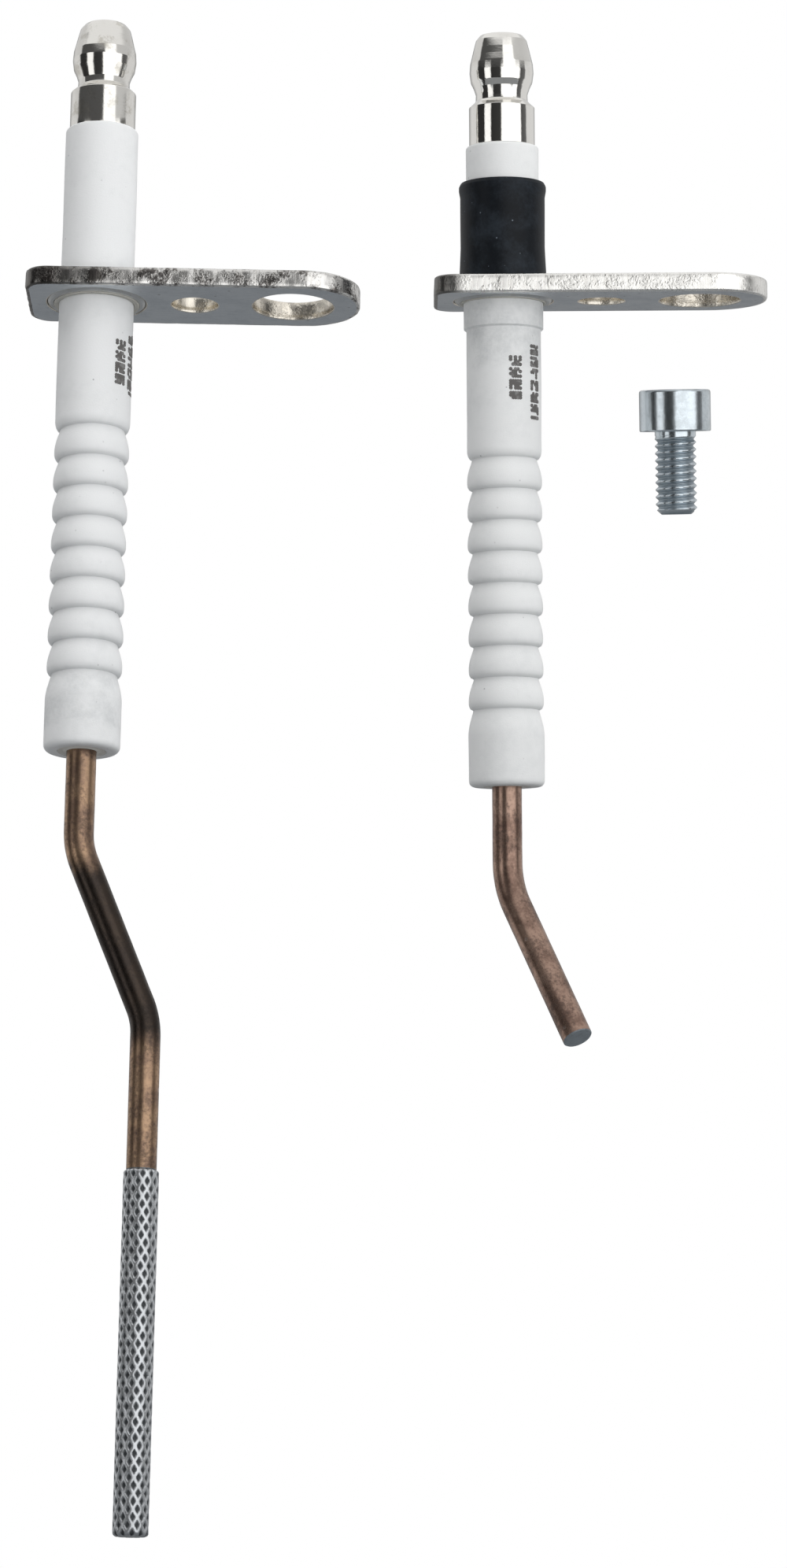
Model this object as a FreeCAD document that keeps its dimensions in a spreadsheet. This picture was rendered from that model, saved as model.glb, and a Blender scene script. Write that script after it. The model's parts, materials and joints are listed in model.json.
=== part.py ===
"""Ignition and flame-sensing electrode set for a gas burner.

Two ceramic-insulated rods, each held in a flat bracket, and the socket-head
screw that fixes both brackets to the burner plate.  Millimetres, +Z up.  The
origin is on the ignition electrode's axis, at the underside of its bracket.
+X runs along that bracket towards its pass-through hole.
"""

import FreeCAD, Part
import math
import os
import re
import Sketcher

# Driving dimensions.  Every alias is one cell of the "Sizes" sheet.
SIZES = {
    # bracket plate
    "bracket_length": 32.2,
    "bracket_width": 12.0,
    "bracket_thick": 1.8,
    "bracket_back": 6.7,
    "back_corner": 2.2,
    "front_corner": 5.6,
    "hole_pitch": 9.5,
    "screw_hole_dia": 4.4,
    "pass_hole_dia": 7.7,
    "edge_break": 0.25,
    # staked ring and packing round the ceramic
    "ring_outer_dia": 9.5,
    "ring_inner_dia": 8.3,
    "ring_proud": 0.15,
    "packing_proud": 0.3,
    "fit_gap": 0.02,
    # ceramic insulator
    "ceramic_length": 62.1,
    "ceramic_neck_dia": 7.04,
    "ceramic_shank_dia": 7.2,
    "ceramic_foot_dia": 7.3,
    "ceramic_collar_dia": 7.7,
    "ceramic_collar_long": 2.7,
    "collar_run_out": 0.3,
    "ceramic_bore_dia": 3.3,
    "ceramic_mouth_dia": 4.6,
    "ceramic_mouth_deep": 2.5,
    "ceramic_edge": 0.35,
    "foot_edge": 0.7,
    "foot_start": 57.3,
    "groove_start": 30.5,
    "groove_pitch": 3.03,
    "groove_count": 9,
    "groove_depth": 0.48,
    "groove_lip": 0.9,
    "groove_ramp": 2.05,
    # snap terminal
    "terminal_dia": 6.35,
    "terminal_high": 10.9,
    "terminal_step": 3.8,
    "terminal_chamfer": 0.5,
    "neck_dia": 4.85,
    "neck_high": 5.0,
    "ball_foot_dia": 5.25,
    "ball_foot_high": 5.85,
    "ball_sweep": 3.8,
    "crown_foot_dia": 5.94,
    "crown_foot_high": 8.7,
    "crown_dia": 5.0,
    "crown_edge": 0.4,
    "terminal_bore_deep": 6.0,
    "washer_dia": 5.6,
    "washer_thick": 0.4,
    # electrode rods
    "rod_dia": 2.85,
    "rod_bend": 7.5,
    # ignition electrode
    "ignition_top": 15.1,
    "ignition_bend_down": 56.5,
    "ignition_tip_long": 18.15,
    "ignition_tip_angle": 35.3,
    "ignition_tip_turn": -53.0,
    # sensing electrode
    "sensing_top": 17.5,
    "sensing_bend_down": 53.9,
    "sensing_slant_long": 17.7,
    "sensing_slant_angle": 22.8,
    "sensing_tail_long": 14.25,
    "tip_dia": 3.35,
    "tip_long": 33.8,
    "spigot_dia": 1.8,
    "spigot_long": 6.0,
    "spigot_end_gap": 0.1,
    # rubber sleeve on the ignition ceramic
    "sleeve_bore_dia": 7.2,
    "sleeve_dia": 8.25,
    "sleeve_lip_dia": 8.5,
    "sleeve_long": 9.7,
    "sleeve_lip_long": 0.8,
    "sleeve_flare_long": 2.4,
    # fixing screw
    "screw_dia": 4.0,
    "screw_long": 8.0,
    "screw_end_edge": 0.5,
    "screw_head_dia": 6.9,
    "screw_head_high": 4.0,
    "screw_head_edge": 0.35,
    "socket_flats": 3.0,
    "socket_deep": 2.0,
    # where the loose pieces lie beside the ignition electrode
    "sensing_across": -39.3,
    "sensing_raise": 0.1,
    "sensing_tip_forward": -9.1,
    "sensing_lean": 1.45,
    "screw_across": 16.5,
    "screw_raise": -12.7,
    "screw_tip_forward": 7.3,
    "screw_lean": -0.75,
}

NAME = re.compile(r"\b[a-z]+(?:_[a-z]+)+\b")


def linked(expression):
    """Return an expression with every alias written as a cell of the sheet."""
    return NAME.sub(lambda match: "Sizes." + match.group(0), expression)


def value(owner, expression):
    """Return the number that an expression of aliases stands for now."""
    return float(owner.evalExpression(linked(expression)))


def make_sheet(doc):
    """Write the driving dimensions into the document's sheet."""
    sheet = doc.addObject("Spreadsheet::Sheet", "Sizes")
    for row, (alias, size) in enumerate(SIZES.items(), start=1):
        sheet.set(f"A{row}", alias)
        sheet.set(f"B{row}", str(size))
        sheet.setAlias(f"B{row}", alias)
    doc.recompute()
    return sheet


def make_body(doc, label):
    """Start one named piece."""
    body = doc.addObject("PartDesign::Body", label)
    body.Label = label
    return body


def make_sketch(body, name, plane, height="0"):
    """Start a sketch on one of the body's own origin planes."""
    sketch = body.newObject("Sketcher::SketchObject", name)
    for feature in body.Origin.OriginFeatures:
        if feature.Role == plane:
            sketch.AttachmentSupport = [(feature, "")]
    sketch.MapMode = "FlatFace"
    sketch.setExpression("AttachmentOffset.Base.z", linked(height))
    return sketch


def tie(sketch, geometry, point, across, along):
    """Tie one point of a sketch to two expressions of the sheet."""
    for kind, axis, expression in (("DistanceX", -2, across), ("DistanceY", -1, along)):
        if abs(value(sketch, expression)) < 1e-9:
            sketch.addConstraint(Sketcher.Constraint("PointOnObject", geometry, point, axis))
            continue
        size = value(sketch, expression)
        number = sketch.addConstraint(Sketcher.Constraint(kind, -1, 1, geometry, point, size))
        sketch.setExpression(f"Constraints[{number}]", linked(expression))


def arc_between(start, end, radius, side):
    """Return the short arc of a radius that bulges to the left (side 1) or right (-1)."""
    chord = end - start
    left = FreeCAD.Vector(-chord.y, chord.x, 0).normalize()
    depth = math.sqrt(radius ** 2 - (chord.Length / 2) ** 2)
    centre = (start + end) * 0.5 - left * (depth * side)
    first, last = (end, start) if side > 0 else (start, end)
    first_angle = math.atan2(first.y - centre.y, first.x - centre.x)
    last_angle = math.atan2(last.y - centre.y, last.x - centre.x)
    if last_angle < first_angle:
        last_angle += 2 * math.pi
    circle = Part.Circle(centre, FreeCAD.Vector(0, 0, 1), radius)
    return Part.ArcOfCircle(circle, first_angle, last_angle)


def draw_path(sketch, corners, arcs=None, closed=True):
    """Draw lines and arcs from corner to corner, each tied to the sheet.

    corners holds pairs of expressions.  arcs maps the number of the corner
    where an arc starts to its radius expression and its side.
    """
    arcs = arcs or {}
    points = [FreeCAD.Vector(value(sketch, x), value(sketch, y), 0) for x, y in corners]
    count = len(points) if closed else len(points) - 1
    first_ends = []
    for index in range(count):
        start = points[index]
        end = points[(index + 1) % len(points)]
        if index in arcs:
            radius, side = arcs[index]
            curve = arc_between(start, end, value(sketch, radius), side)
        else:
            curve = Part.LineSegment(start, end)
        number = sketch.addGeometry(curve, False)
        at_start = 1
        if sketch.Geometry[number].StartPoint.distanceToPoint(start) > 1e-6:
            at_start = 2
        first_ends.append((number, at_start))
        if index in arcs:
            size = value(sketch, radius)
            limit = sketch.addConstraint(Sketcher.Constraint("Radius", number, size))
            sketch.setExpression(f"Constraints[{limit}]", linked(radius))
    for index, (number, at_start) in enumerate(first_ends):
        x, y = corners[index]
        tie(sketch, number, at_start, x, y)
        following = index + 1
        if following < count or closed:
            other, other_start = first_ends[following % count]
            joint = Sketcher.Constraint("Coincident", number, 3 - at_start, other, other_start)
            sketch.addConstraint(joint)
        else:
            x, y = corners[following]
            tie(sketch, number, 3 - at_start, x, y)
    return sketch


def draw_circle(sketch, diameter, across="0", along="0"):
    """Draw a circle whose diameter and centre come from the sheet."""
    centre = FreeCAD.Vector(value(sketch, across), value(sketch, along), 0)
    radius = value(sketch, diameter) / 2
    number = sketch.addGeometry(Part.Circle(centre, FreeCAD.Vector(0, 0, 1), radius), False)
    limit = sketch.addConstraint(Sketcher.Constraint("Diameter", number, 2 * radius))
    sketch.setExpression(f"Constraints[{limit}]", linked(diameter))
    tie(sketch, number, 3, across, along)


def revolve(body, name, corners, arcs=None, cut=False):
    """Turn a half outline of radius and height pairs round the body's Z axis."""
    sketch = make_sketch(body, name + "Outline", "XZ_Plane")
    draw_path(sketch, corners, arcs)
    feature = body.newObject("PartDesign::Groove" if cut else "PartDesign::Revolution", name)
    feature.Profile = sketch
    feature.ReferenceAxis = (sketch, ["V_Axis"])
    feature.Angle = 360
    return feature


def pad(body, name, sketch, length):
    """Thicken a sketch upwards from its plane."""
    feature = body.newObject("PartDesign::Pad", name)
    feature.Profile = sketch
    feature.setExpression("Length", linked(length))
    return feature


def cut_holes(body, name, holes, depth, height="0"):
    """Cut round holes, each a diameter with its centre, upwards from a height."""
    sketch = make_sketch(body, name + "Circles", "XY_Plane", height)
    for diameter, across, along in holes:
        draw_circle(sketch, diameter, across, along)
    feature = body.newObject("PartDesign::Pocket", name)
    feature.Profile = sketch
    feature.Reversed = True
    feature.setExpression("Length", linked(depth))
    return feature


def make_bracket(doc, label):
    """Flat plate with the ceramic's hole, the screw hole and the pass-through hole."""
    body = make_body(doc, label)
    front = "bracket_length - bracket_back"
    half = "bracket_width / 2"
    corners = [
        ("-bracket_back + back_corner", f"-{half}"),
        (f"{front} - front_corner", f"-{half}"),
        (front, f"-{half} + front_corner"),
        (front, f"{half} - front_corner"),
        (f"{front} - front_corner", half),
        ("-bracket_back + back_corner", half),
        ("-bracket_back", f"{half} - back_corner"),
        ("-bracket_back", f"-{half} + back_corner"),
    ]
    arcs = {
        1: ("front_corner", -1),
        3: ("front_corner", -1),
        5: ("back_corner", -1),
        7: ("back_corner", -1),
    }
    outline = draw_path(make_sketch(body, "Plate", "XY_Plane"), corners, arcs)
    pad(body, "PlatePad", outline, "bracket_thick")
    holes = [
        ("ring_outer_dia", "0", "0"),
        ("screw_hole_dia", "hole_pitch", "0"),
        ("pass_hole_dia", "2 * hole_pitch", "0"),
    ]
    drilled = cut_holes(body, "Holes", holes, "bracket_thick")
    doc.recompute()
    rim = [f"Edge{number}" for number, edge in enumerate(body.Shape.Edges, start=1)
           if on_plate_rim(edge, value(body, half), value(body, "bracket_thick"))]
    broken = body.newObject("PartDesign::Fillet", "BrokenEdges")
    broken.Base = (drilled, rim)
    broken.setExpression("Radius", linked("edge_break"))
    return body


def on_plate_rim(edge, half_width, thickness):
    """Say whether an edge runs round the outside of the plate's two faces."""
    box = edge.BoundBox
    flat = box.ZLength < 1e-6 and min(abs(box.ZMin), abs(box.ZMin - thickness)) < 1e-6
    round_hole = abs(box.YMax + box.YMin) < 1e-6 and box.YLength < 2 * half_width - 1e-6
    straight_end = box.XLength < 1e-6
    return flat and (not round_hole or straight_end)


def make_clamp_ring(doc, label):
    """Steel ring staked into the bracket, flush above and a little proud below."""
    body = make_body(doc, label)
    outer = "ring_outer_dia / 2 - fit_gap"
    inner = "ring_inner_dia / 2"
    corners = [
        (inner, "-ring_proud"),
        (f"{outer} - ring_proud", "-ring_proud"),
        (outer, "0"),
        (outer, "bracket_thick"),
        (inner, "bracket_thick"),
    ]
    revolve(body, "Ring", corners)
    return body


def make_seal_ring(doc, label, below_dia):
    """Mineral packing between the clamp ring and the ceramic."""
    body = make_body(doc, label)
    outer = "ring_inner_dia / 2 - fit_gap"
    inner = "ceramic_neck_dia / 2 + fit_gap"
    corners = [
        (inner, "0"),
        (f"{below_dia} / 2 + fit_gap", "0"),
        (f"{below_dia} / 2 + fit_gap", "-packing_proud"),
        (outer, "-packing_proud"),
        (outer, "bracket_thick"),
        (inner, "bracket_thick"),
    ]
    revolve(body, "Packing", corners)
    return body


def make_insulator(doc, label, top, below_dia):
    """Ceramic tube with a ribbed lower half, of a diameter just below the bracket."""
    body = make_body(doc, label)
    foot = f"{top} - ceramic_length"
    neck = "ceramic_neck_dia / 2"
    shank = "ceramic_shank_dia / 2"
    corners = [
        ("washer_dia / 2 + fit_gap", top),
        (f"{neck} - ceramic_edge", top),
        (neck, f"{top} - ceramic_edge"),
        (neck, "0"),
        (f"{below_dia} / 2", "0"),
        (f"{below_dia} / 2", "-ceramic_collar_long"),
        (shank, "-ceramic_collar_long - collar_run_out"),
        (shank, f"{top} - foot_start + groove_lip"),
        ("ceramic_foot_dia / 2", f"{top} - foot_start"),
        ("ceramic_foot_dia / 2", f"{foot} + foot_edge"),
        ("ceramic_foot_dia / 2 - foot_edge", foot),
        ("ceramic_mouth_dia / 2", foot),
        ("ceramic_mouth_dia / 2", f"{foot} + ceramic_mouth_deep"),
        ("ceramic_bore_dia / 2", f"{foot} + ceramic_mouth_deep"),
        ("ceramic_bore_dia / 2", f"{top} - washer_thick - ceramic_mouth_deep"),
        ("ceramic_mouth_dia / 2", f"{top} - washer_thick - ceramic_mouth_deep"),
        ("ceramic_mouth_dia / 2", f"{top} - washer_thick"),
        ("washer_dia / 2 + fit_gap", f"{top} - washer_thick"),
    ]
    arcs = {1: ("ceramic_edge", 1), 9: ("foot_edge", 1)}
    revolve(body, "Tube", corners, arcs)
    cut_rib_grooves(doc, body, top)
    return body


def cut_rib_grooves(doc, body, top):
    """Cut the row of grooves that leaves the creepage ribs standing."""
    bottom = f"{top} - groove_start"
    crest = "ceramic_shank_dia / 2"
    outside = "ceramic_shank_dia / 2 + groove_depth"
    corners = [
        (outside, f"{bottom} + groove_lip"),
        (crest, f"{bottom} + groove_lip"),
        (f"{crest} - groove_depth", bottom),
        (crest, f"{bottom} - groove_ramp"),
        (outside, f"{bottom} - groove_ramp"),
    ]
    groove = revolve(body, "RibGroove", corners, {1: ("groove_lip", 1)}, cut=True)
    doc.recompute()
    row = body.newObject("PartDesign::LinearPattern", "RibGrooves")
    row.Originals = [groove]
    for axis in body.Origin.OriginFeatures:
        if axis.Role == "Z_Axis":
            row.Direction = (axis, [""])
    row.Reversed = True
    row.Mode = "Spacing"
    row.setExpression("Offset", linked("groove_pitch"))
    row.setExpression("Occurrences", linked("groove_count"))
    body.Tip = row


def make_cement(doc, label, low):
    """Cement plug that holds the rod in one mouth of the bore."""
    body = make_body(doc, label)
    inner = "rod_dia / 2 + fit_gap"
    outer = "ceramic_mouth_dia / 2 - fit_gap"
    high = f"{low} + ceramic_mouth_deep"
    revolve(body, "Plug", [(inner, low), (outer, low), (outer, high), (inner, high)])
    return body


def make_terminal_washer(doc, label, top):
    """Spring washer in the recess under the terminal."""
    body = make_body(doc, label)
    inner = "rod_dia / 2 + fit_gap"
    low = f"{top} - washer_thick"
    corners = [(inner, low), ("washer_dia / 2", low), ("washer_dia / 2", top), (inner, top)]
    revolve(body, "Washer", corners)
    return body


def make_terminal(doc, label, top):
    """Snap terminal: a round base, a waisted neck and a ball that the lead clips on."""
    body = make_body(doc, label)
    bore = "rod_dia / 2 + fit_gap"
    corners = [
        (bore, top),
        ("terminal_dia / 2", top),
        ("terminal_dia / 2", f"{top} + terminal_step"),
        ("ball_foot_dia / 2", f"{top} + terminal_step + terminal_chamfer"),
        ("neck_dia / 2", f"{top} + neck_high"),
        ("ball_foot_dia / 2", f"{top} + ball_foot_high"),
        ("crown_foot_dia / 2", f"{top} + crown_foot_high"),
        ("crown_dia / 2", f"{top} + terminal_high - crown_edge"),
        ("crown_dia / 2 - crown_edge", f"{top} + terminal_high"),
        ("0", f"{top} + terminal_high"),
        ("0", f"{top} + terminal_bore_deep"),
        (bore, f"{top} + terminal_bore_deep"),
    ]
    revolve(body, "Stud", corners, {5: ("ball_sweep", -1)})
    return body


def sweep_rod(body, corners, arcs):
    """Sweep the rod's round section down a path in the XZ plane."""
    path = make_sketch(body, "RodPath", "XZ_Plane")
    draw_path(path, corners, arcs, closed=False)
    section = make_sketch(body, "RodSection", "XY_Plane", corners[0][1])
    draw_circle(section, "rod_dia")
    rod = body.newObject("PartDesign::AdditivePipe", "Rod")
    rod.Profile = section
    rod.Spine = path
    rod.Mode = "Frenet"
    return rod


def make_ignition_rod(doc, label):
    """Straight rod with one bend towards the burner."""
    body = make_body(doc, label)
    angle = "ignition_tip_angle"
    tangent = f"rod_bend * tan({angle} / 2)"
    corners = [
        ("0", "ignition_top + terminal_bore_deep"),
        ("0", f"-ignition_bend_down + {tangent}"),
        (f"{tangent} * sin({angle})", f"-ignition_bend_down - {tangent} * cos({angle})"),
        (f"ignition_tip_long * sin({angle})",
         f"-ignition_bend_down - ignition_tip_long * cos({angle})"),
    ]
    sweep_rod(body, corners, {1: ("rod_bend", -1)})
    return body


def make_sensing_rod(doc, label):
    """Rod with a double bend and a turned-down end for the knurled tip."""
    body = make_body(doc, label)
    angle = "sensing_slant_angle"
    tangent = f"rod_bend * tan({angle} / 2)"
    offset = f"sensing_slant_long * sin({angle})"
    second = f"-sensing_bend_down - sensing_slant_long * cos({angle})"
    corners = [
        ("0", "sensing_top + terminal_bore_deep"),
        ("0", f"-sensing_bend_down + {tangent}"),
        (f"{tangent} * sin({angle})", f"-sensing_bend_down - {tangent} * cos({angle})"),
        (f"{offset} - {tangent} * sin({angle})", f"{second} + {tangent} * cos({angle})"),
        (offset, f"{second} - {tangent}"),
        (offset, f"{second} - sensing_tail_long"),
    ]
    sweep_rod(body, corners, {1: ("rod_bend", -1), 3: ("rod_bend", 1)})
    end = make_sketch(body, "SpigotCircle", "XY_Plane", f"{second} - sensing_tail_long")
    draw_circle(end, "spigot_dia", offset)
    spigot = pad(body, "Spigot", end, "spigot_long")
    spigot.Reversed = True
    return body


def make_knurled_tip(doc, label):
    """Thicker sensing tip with a socket that the rod's spigot is pressed into."""
    body = make_body(doc, label)
    angle = "sensing_slant_angle"
    offset = f"sensing_slant_long * sin({angle})"
    top = f"-sensing_bend_down - sensing_slant_long * cos({angle}) - sensing_tail_long"
    outline = make_sketch(body, "TipCircle", "XY_Plane", f"{top} - tip_long")
    draw_circle(outline, "tip_dia", offset)
    pad(body, "Tip", outline, "tip_long")
    socket_deep = "spigot_long + spigot_end_gap"
    socket = [("spigot_dia + 2 * fit_gap", offset, "0")]
    cut_holes(body, "Socket", socket, socket_deep, f"{top} - ({socket_deep})")
    return body


def make_rubber_sleeve(doc, label):
    """Push-on insulating sleeve that stands on the ignition bracket."""
    body = make_body(doc, label)
    low = "bracket_thick + fit_gap"
    high = "bracket_thick + fit_gap + sleeve_long"
    bore = "sleeve_bore_dia / 2"
    corners = [
        (bore, low),
        ("sleeve_lip_dia / 2", low),
        ("sleeve_dia / 2", f"{low} + sleeve_flare_long"),
        ("sleeve_dia / 2", f"{high} - sleeve_lip_long"),
        ("sleeve_lip_dia / 2", f"{high} - sleeve_lip_long / 2"),
        ("sleeve_dia / 2", high),
        (bore, high),
    ]
    revolve(body, "Sleeve", corners)
    return body


def make_fixing_screw(doc, label):
    """Socket-head screw that fixes both brackets."""
    body = make_body(doc, label)
    shank = "screw_dia / 2"
    head = "screw_head_dia / 2"
    corners = [
        ("0", "-screw_long"),
        (f"{shank} - screw_end_edge", "-screw_long"),
        (shank, "-screw_long + screw_end_edge"),
        (shank, "0"),
        (head, "0"),
        (head, "screw_head_high - screw_head_edge"),
        (f"{head} - screw_head_edge", "screw_head_high"),
        ("0", "screw_head_high"),
    ]
    revolve(body, "Shank", corners, {5: ("screw_head_edge", -1)})
    hexagon = []
    for corner in range(6):
        turn = 60 * corner
        reach = "socket_flats / 2 / cos(30)"
        hexagon.append((f"{reach} * cos({turn})", f"{reach} * sin({turn})"))
    floor = make_sketch(body, "Hexagon", "XY_Plane", "screw_head_high - socket_deep")
    draw_path(floor, hexagon)
    socket = body.newObject("PartDesign::Pocket", "Socket")
    socket.Profile = floor
    socket.Reversed = True
    socket.setExpression("Length", linked("socket_deep"))
    return body


def ignition_electrode(doc):
    """Build the pieces of the ignition electrode, which stands at the origin."""
    top = "ignition_top"
    foot = f"{top} - ceramic_length"
    return [
        make_bracket(doc, "ignition_bracket"),
        make_clamp_ring(doc, "ignition_clamp_ring"),
        make_seal_ring(doc, "ignition_seal_ring", "ceramic_collar_dia"),
        make_insulator(doc, "ignition_insulator", top, "ceramic_collar_dia"),
        make_cement(doc, "ignition_lower_cement", foot),
        make_cement(doc, "ignition_upper_cement", f"{top} - washer_thick - ceramic_mouth_deep"),
        make_terminal_washer(doc, "ignition_terminal_washer", top),
        make_terminal(doc, "ignition_terminal", top),
    ]


def sensing_electrode(doc):
    """Build the pieces of the sensing electrode in that electrode's own frame."""
    top = "sensing_top"
    foot = f"{top} - ceramic_length"
    return [
        make_bracket(doc, "sensing_bracket"),
        make_clamp_ring(doc, "sensing_clamp_ring"),
        make_seal_ring(doc, "sensing_seal_ring", "ceramic_shank_dia"),
        make_insulator(doc, "sensing_insulator", top, "ceramic_shank_dia"),
        make_cement(doc, "sensing_lower_cement", foot),
        make_cement(doc, "sensing_upper_cement", f"{top} - washer_thick - ceramic_mouth_deep"),
        make_terminal_washer(doc, "sensing_terminal_washer", top),
        make_terminal(doc, "sensing_terminal", top),
        make_sensing_rod(doc, "sensing_rod"),
        make_knurled_tip(doc, "sensing_knurled_tip"),
    ]


def place(body, across, raised, lean, tip_forward):
    """Move a piece out of its own frame, by expressions of the sheet."""
    x_axis = FreeCAD.Vector(1, 0, 0)
    y_axis = FreeCAD.Vector(0, 1, 0)
    tipped = FreeCAD.Rotation(x_axis, value(body, tip_forward))
    leaning = FreeCAD.Rotation(y_axis, value(body, lean))
    body.Placement = FreeCAD.Placement(FreeCAD.Vector(), leaning * tipped)
    body.setExpression("Placement.Base.x", linked(across))
    body.setExpression("Placement.Base.z", linked(raised))


def check(doc, pieces):
    """Stop if any object failed, or any piece isn't one sound solid."""
    for item in doc.Objects:
        if "Invalid" in item.State or "Error" in item.State:
            raise RuntimeError(f"{item.Label} is {item.State}")
    for piece in pieces:
        shape = piece.Shape
        if shape.isNull() or not shape.isValid() or len(shape.Solids) != 1:
            raise RuntimeError(f"{piece.Label} isn't one valid solid")
        print(f"{piece.Label:28s} {shape.Volume:9.2f} mm3")


def main():
    """Build, place, check and write every piece."""
    doc = FreeCAD.newDocument("electrode_set")
    make_sheet(doc)
    ignition = ignition_electrode(doc)
    ignition_rod = make_ignition_rod(doc, "ignition_rod")
    turn = value(ignition_rod, "ignition_tip_turn")
    z_axis = FreeCAD.Vector(0, 0, 1)
    ignition_rod.Placement = FreeCAD.Placement(FreeCAD.Vector(), FreeCAD.Rotation(z_axis, turn))
    sleeve = make_rubber_sleeve(doc, "ignition_rubber_sleeve")
    sensing = sensing_electrode(doc)
    for piece in sensing:
        place(piece, "sensing_across", "sensing_raise", "sensing_lean", "sensing_tip_forward")
    screw = make_fixing_screw(doc, "fixing_screw")
    place(screw, "screw_across", "screw_raise", "screw_lean", "screw_tip_forward")
    doc.recompute()
    pieces = ignition + [ignition_rod, sleeve] + sensing + [screw]
    check(doc, pieces)
    os.makedirs("parts", exist_ok=True)
    for piece in pieces:
        piece.Shape.exportStep(f"parts/{piece.Label}.step")


main()
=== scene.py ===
"""Looks of the burner electrode set: two electrodes and their fixing screw."""
import json
import logging
import math
import random
from dataclasses import dataclass, field
from enum import Enum
from functools import cache
from typing import Callable, Sequence

import bmesh
import bpy
from mathutils import Matrix, Quaternion, Vector, geometry, noise


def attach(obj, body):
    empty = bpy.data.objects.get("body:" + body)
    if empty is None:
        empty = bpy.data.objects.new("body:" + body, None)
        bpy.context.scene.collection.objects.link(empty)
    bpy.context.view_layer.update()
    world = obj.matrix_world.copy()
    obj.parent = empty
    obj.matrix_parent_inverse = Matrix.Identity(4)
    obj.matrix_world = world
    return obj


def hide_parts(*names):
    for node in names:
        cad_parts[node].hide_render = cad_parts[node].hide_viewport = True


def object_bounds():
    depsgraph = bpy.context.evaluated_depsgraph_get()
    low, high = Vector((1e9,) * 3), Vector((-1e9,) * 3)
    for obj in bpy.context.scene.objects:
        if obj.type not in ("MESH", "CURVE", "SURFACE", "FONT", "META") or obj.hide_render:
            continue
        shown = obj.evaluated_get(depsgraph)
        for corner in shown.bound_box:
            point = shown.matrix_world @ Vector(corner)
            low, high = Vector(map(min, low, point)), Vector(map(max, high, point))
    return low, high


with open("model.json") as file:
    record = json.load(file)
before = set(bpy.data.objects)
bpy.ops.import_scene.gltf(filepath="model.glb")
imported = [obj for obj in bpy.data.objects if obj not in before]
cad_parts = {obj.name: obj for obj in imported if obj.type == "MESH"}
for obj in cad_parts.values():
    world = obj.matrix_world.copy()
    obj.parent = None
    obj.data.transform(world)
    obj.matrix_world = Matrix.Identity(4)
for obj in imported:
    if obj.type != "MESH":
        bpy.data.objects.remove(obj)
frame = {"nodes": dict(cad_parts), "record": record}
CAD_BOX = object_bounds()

LOG = logging.getLogger("electrode_set")
MM = 0.001
FULL_TURN = 2 * math.pi
SHARP_ANGLE = math.radians(34)
PLATE_SHARP_ANGLE = math.radians(50)
SMALLEST_RADIUS = 1e-6
ROD_ABOVE_CERAMIC = 5.95
SHANK_MOUNT_DEPTH = 3.75

Profile = list[tuple[float, float]]
Ring = list[Vector]
Face = tuple[int, ...]
Colour = tuple[float, float, float]
Node = bpy.types.Node
Socket = bpy.types.NodeSocket
Tree = bpy.types.NodeTree
Mesh = bpy.types.Mesh
Wobble = Callable[[float, float, float], float]


class Hand(Enum):
    """Which way a helix climbs."""

    RIGHT = 1
    LEFT = -1


class EdgeState(Enum):
    """How uneven a bracket's stamped edge is, in millimetres."""

    GROUND = 0.012
    BATTERED = 0.045


# ---------------------------------------------------------------- shader graphs


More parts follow.
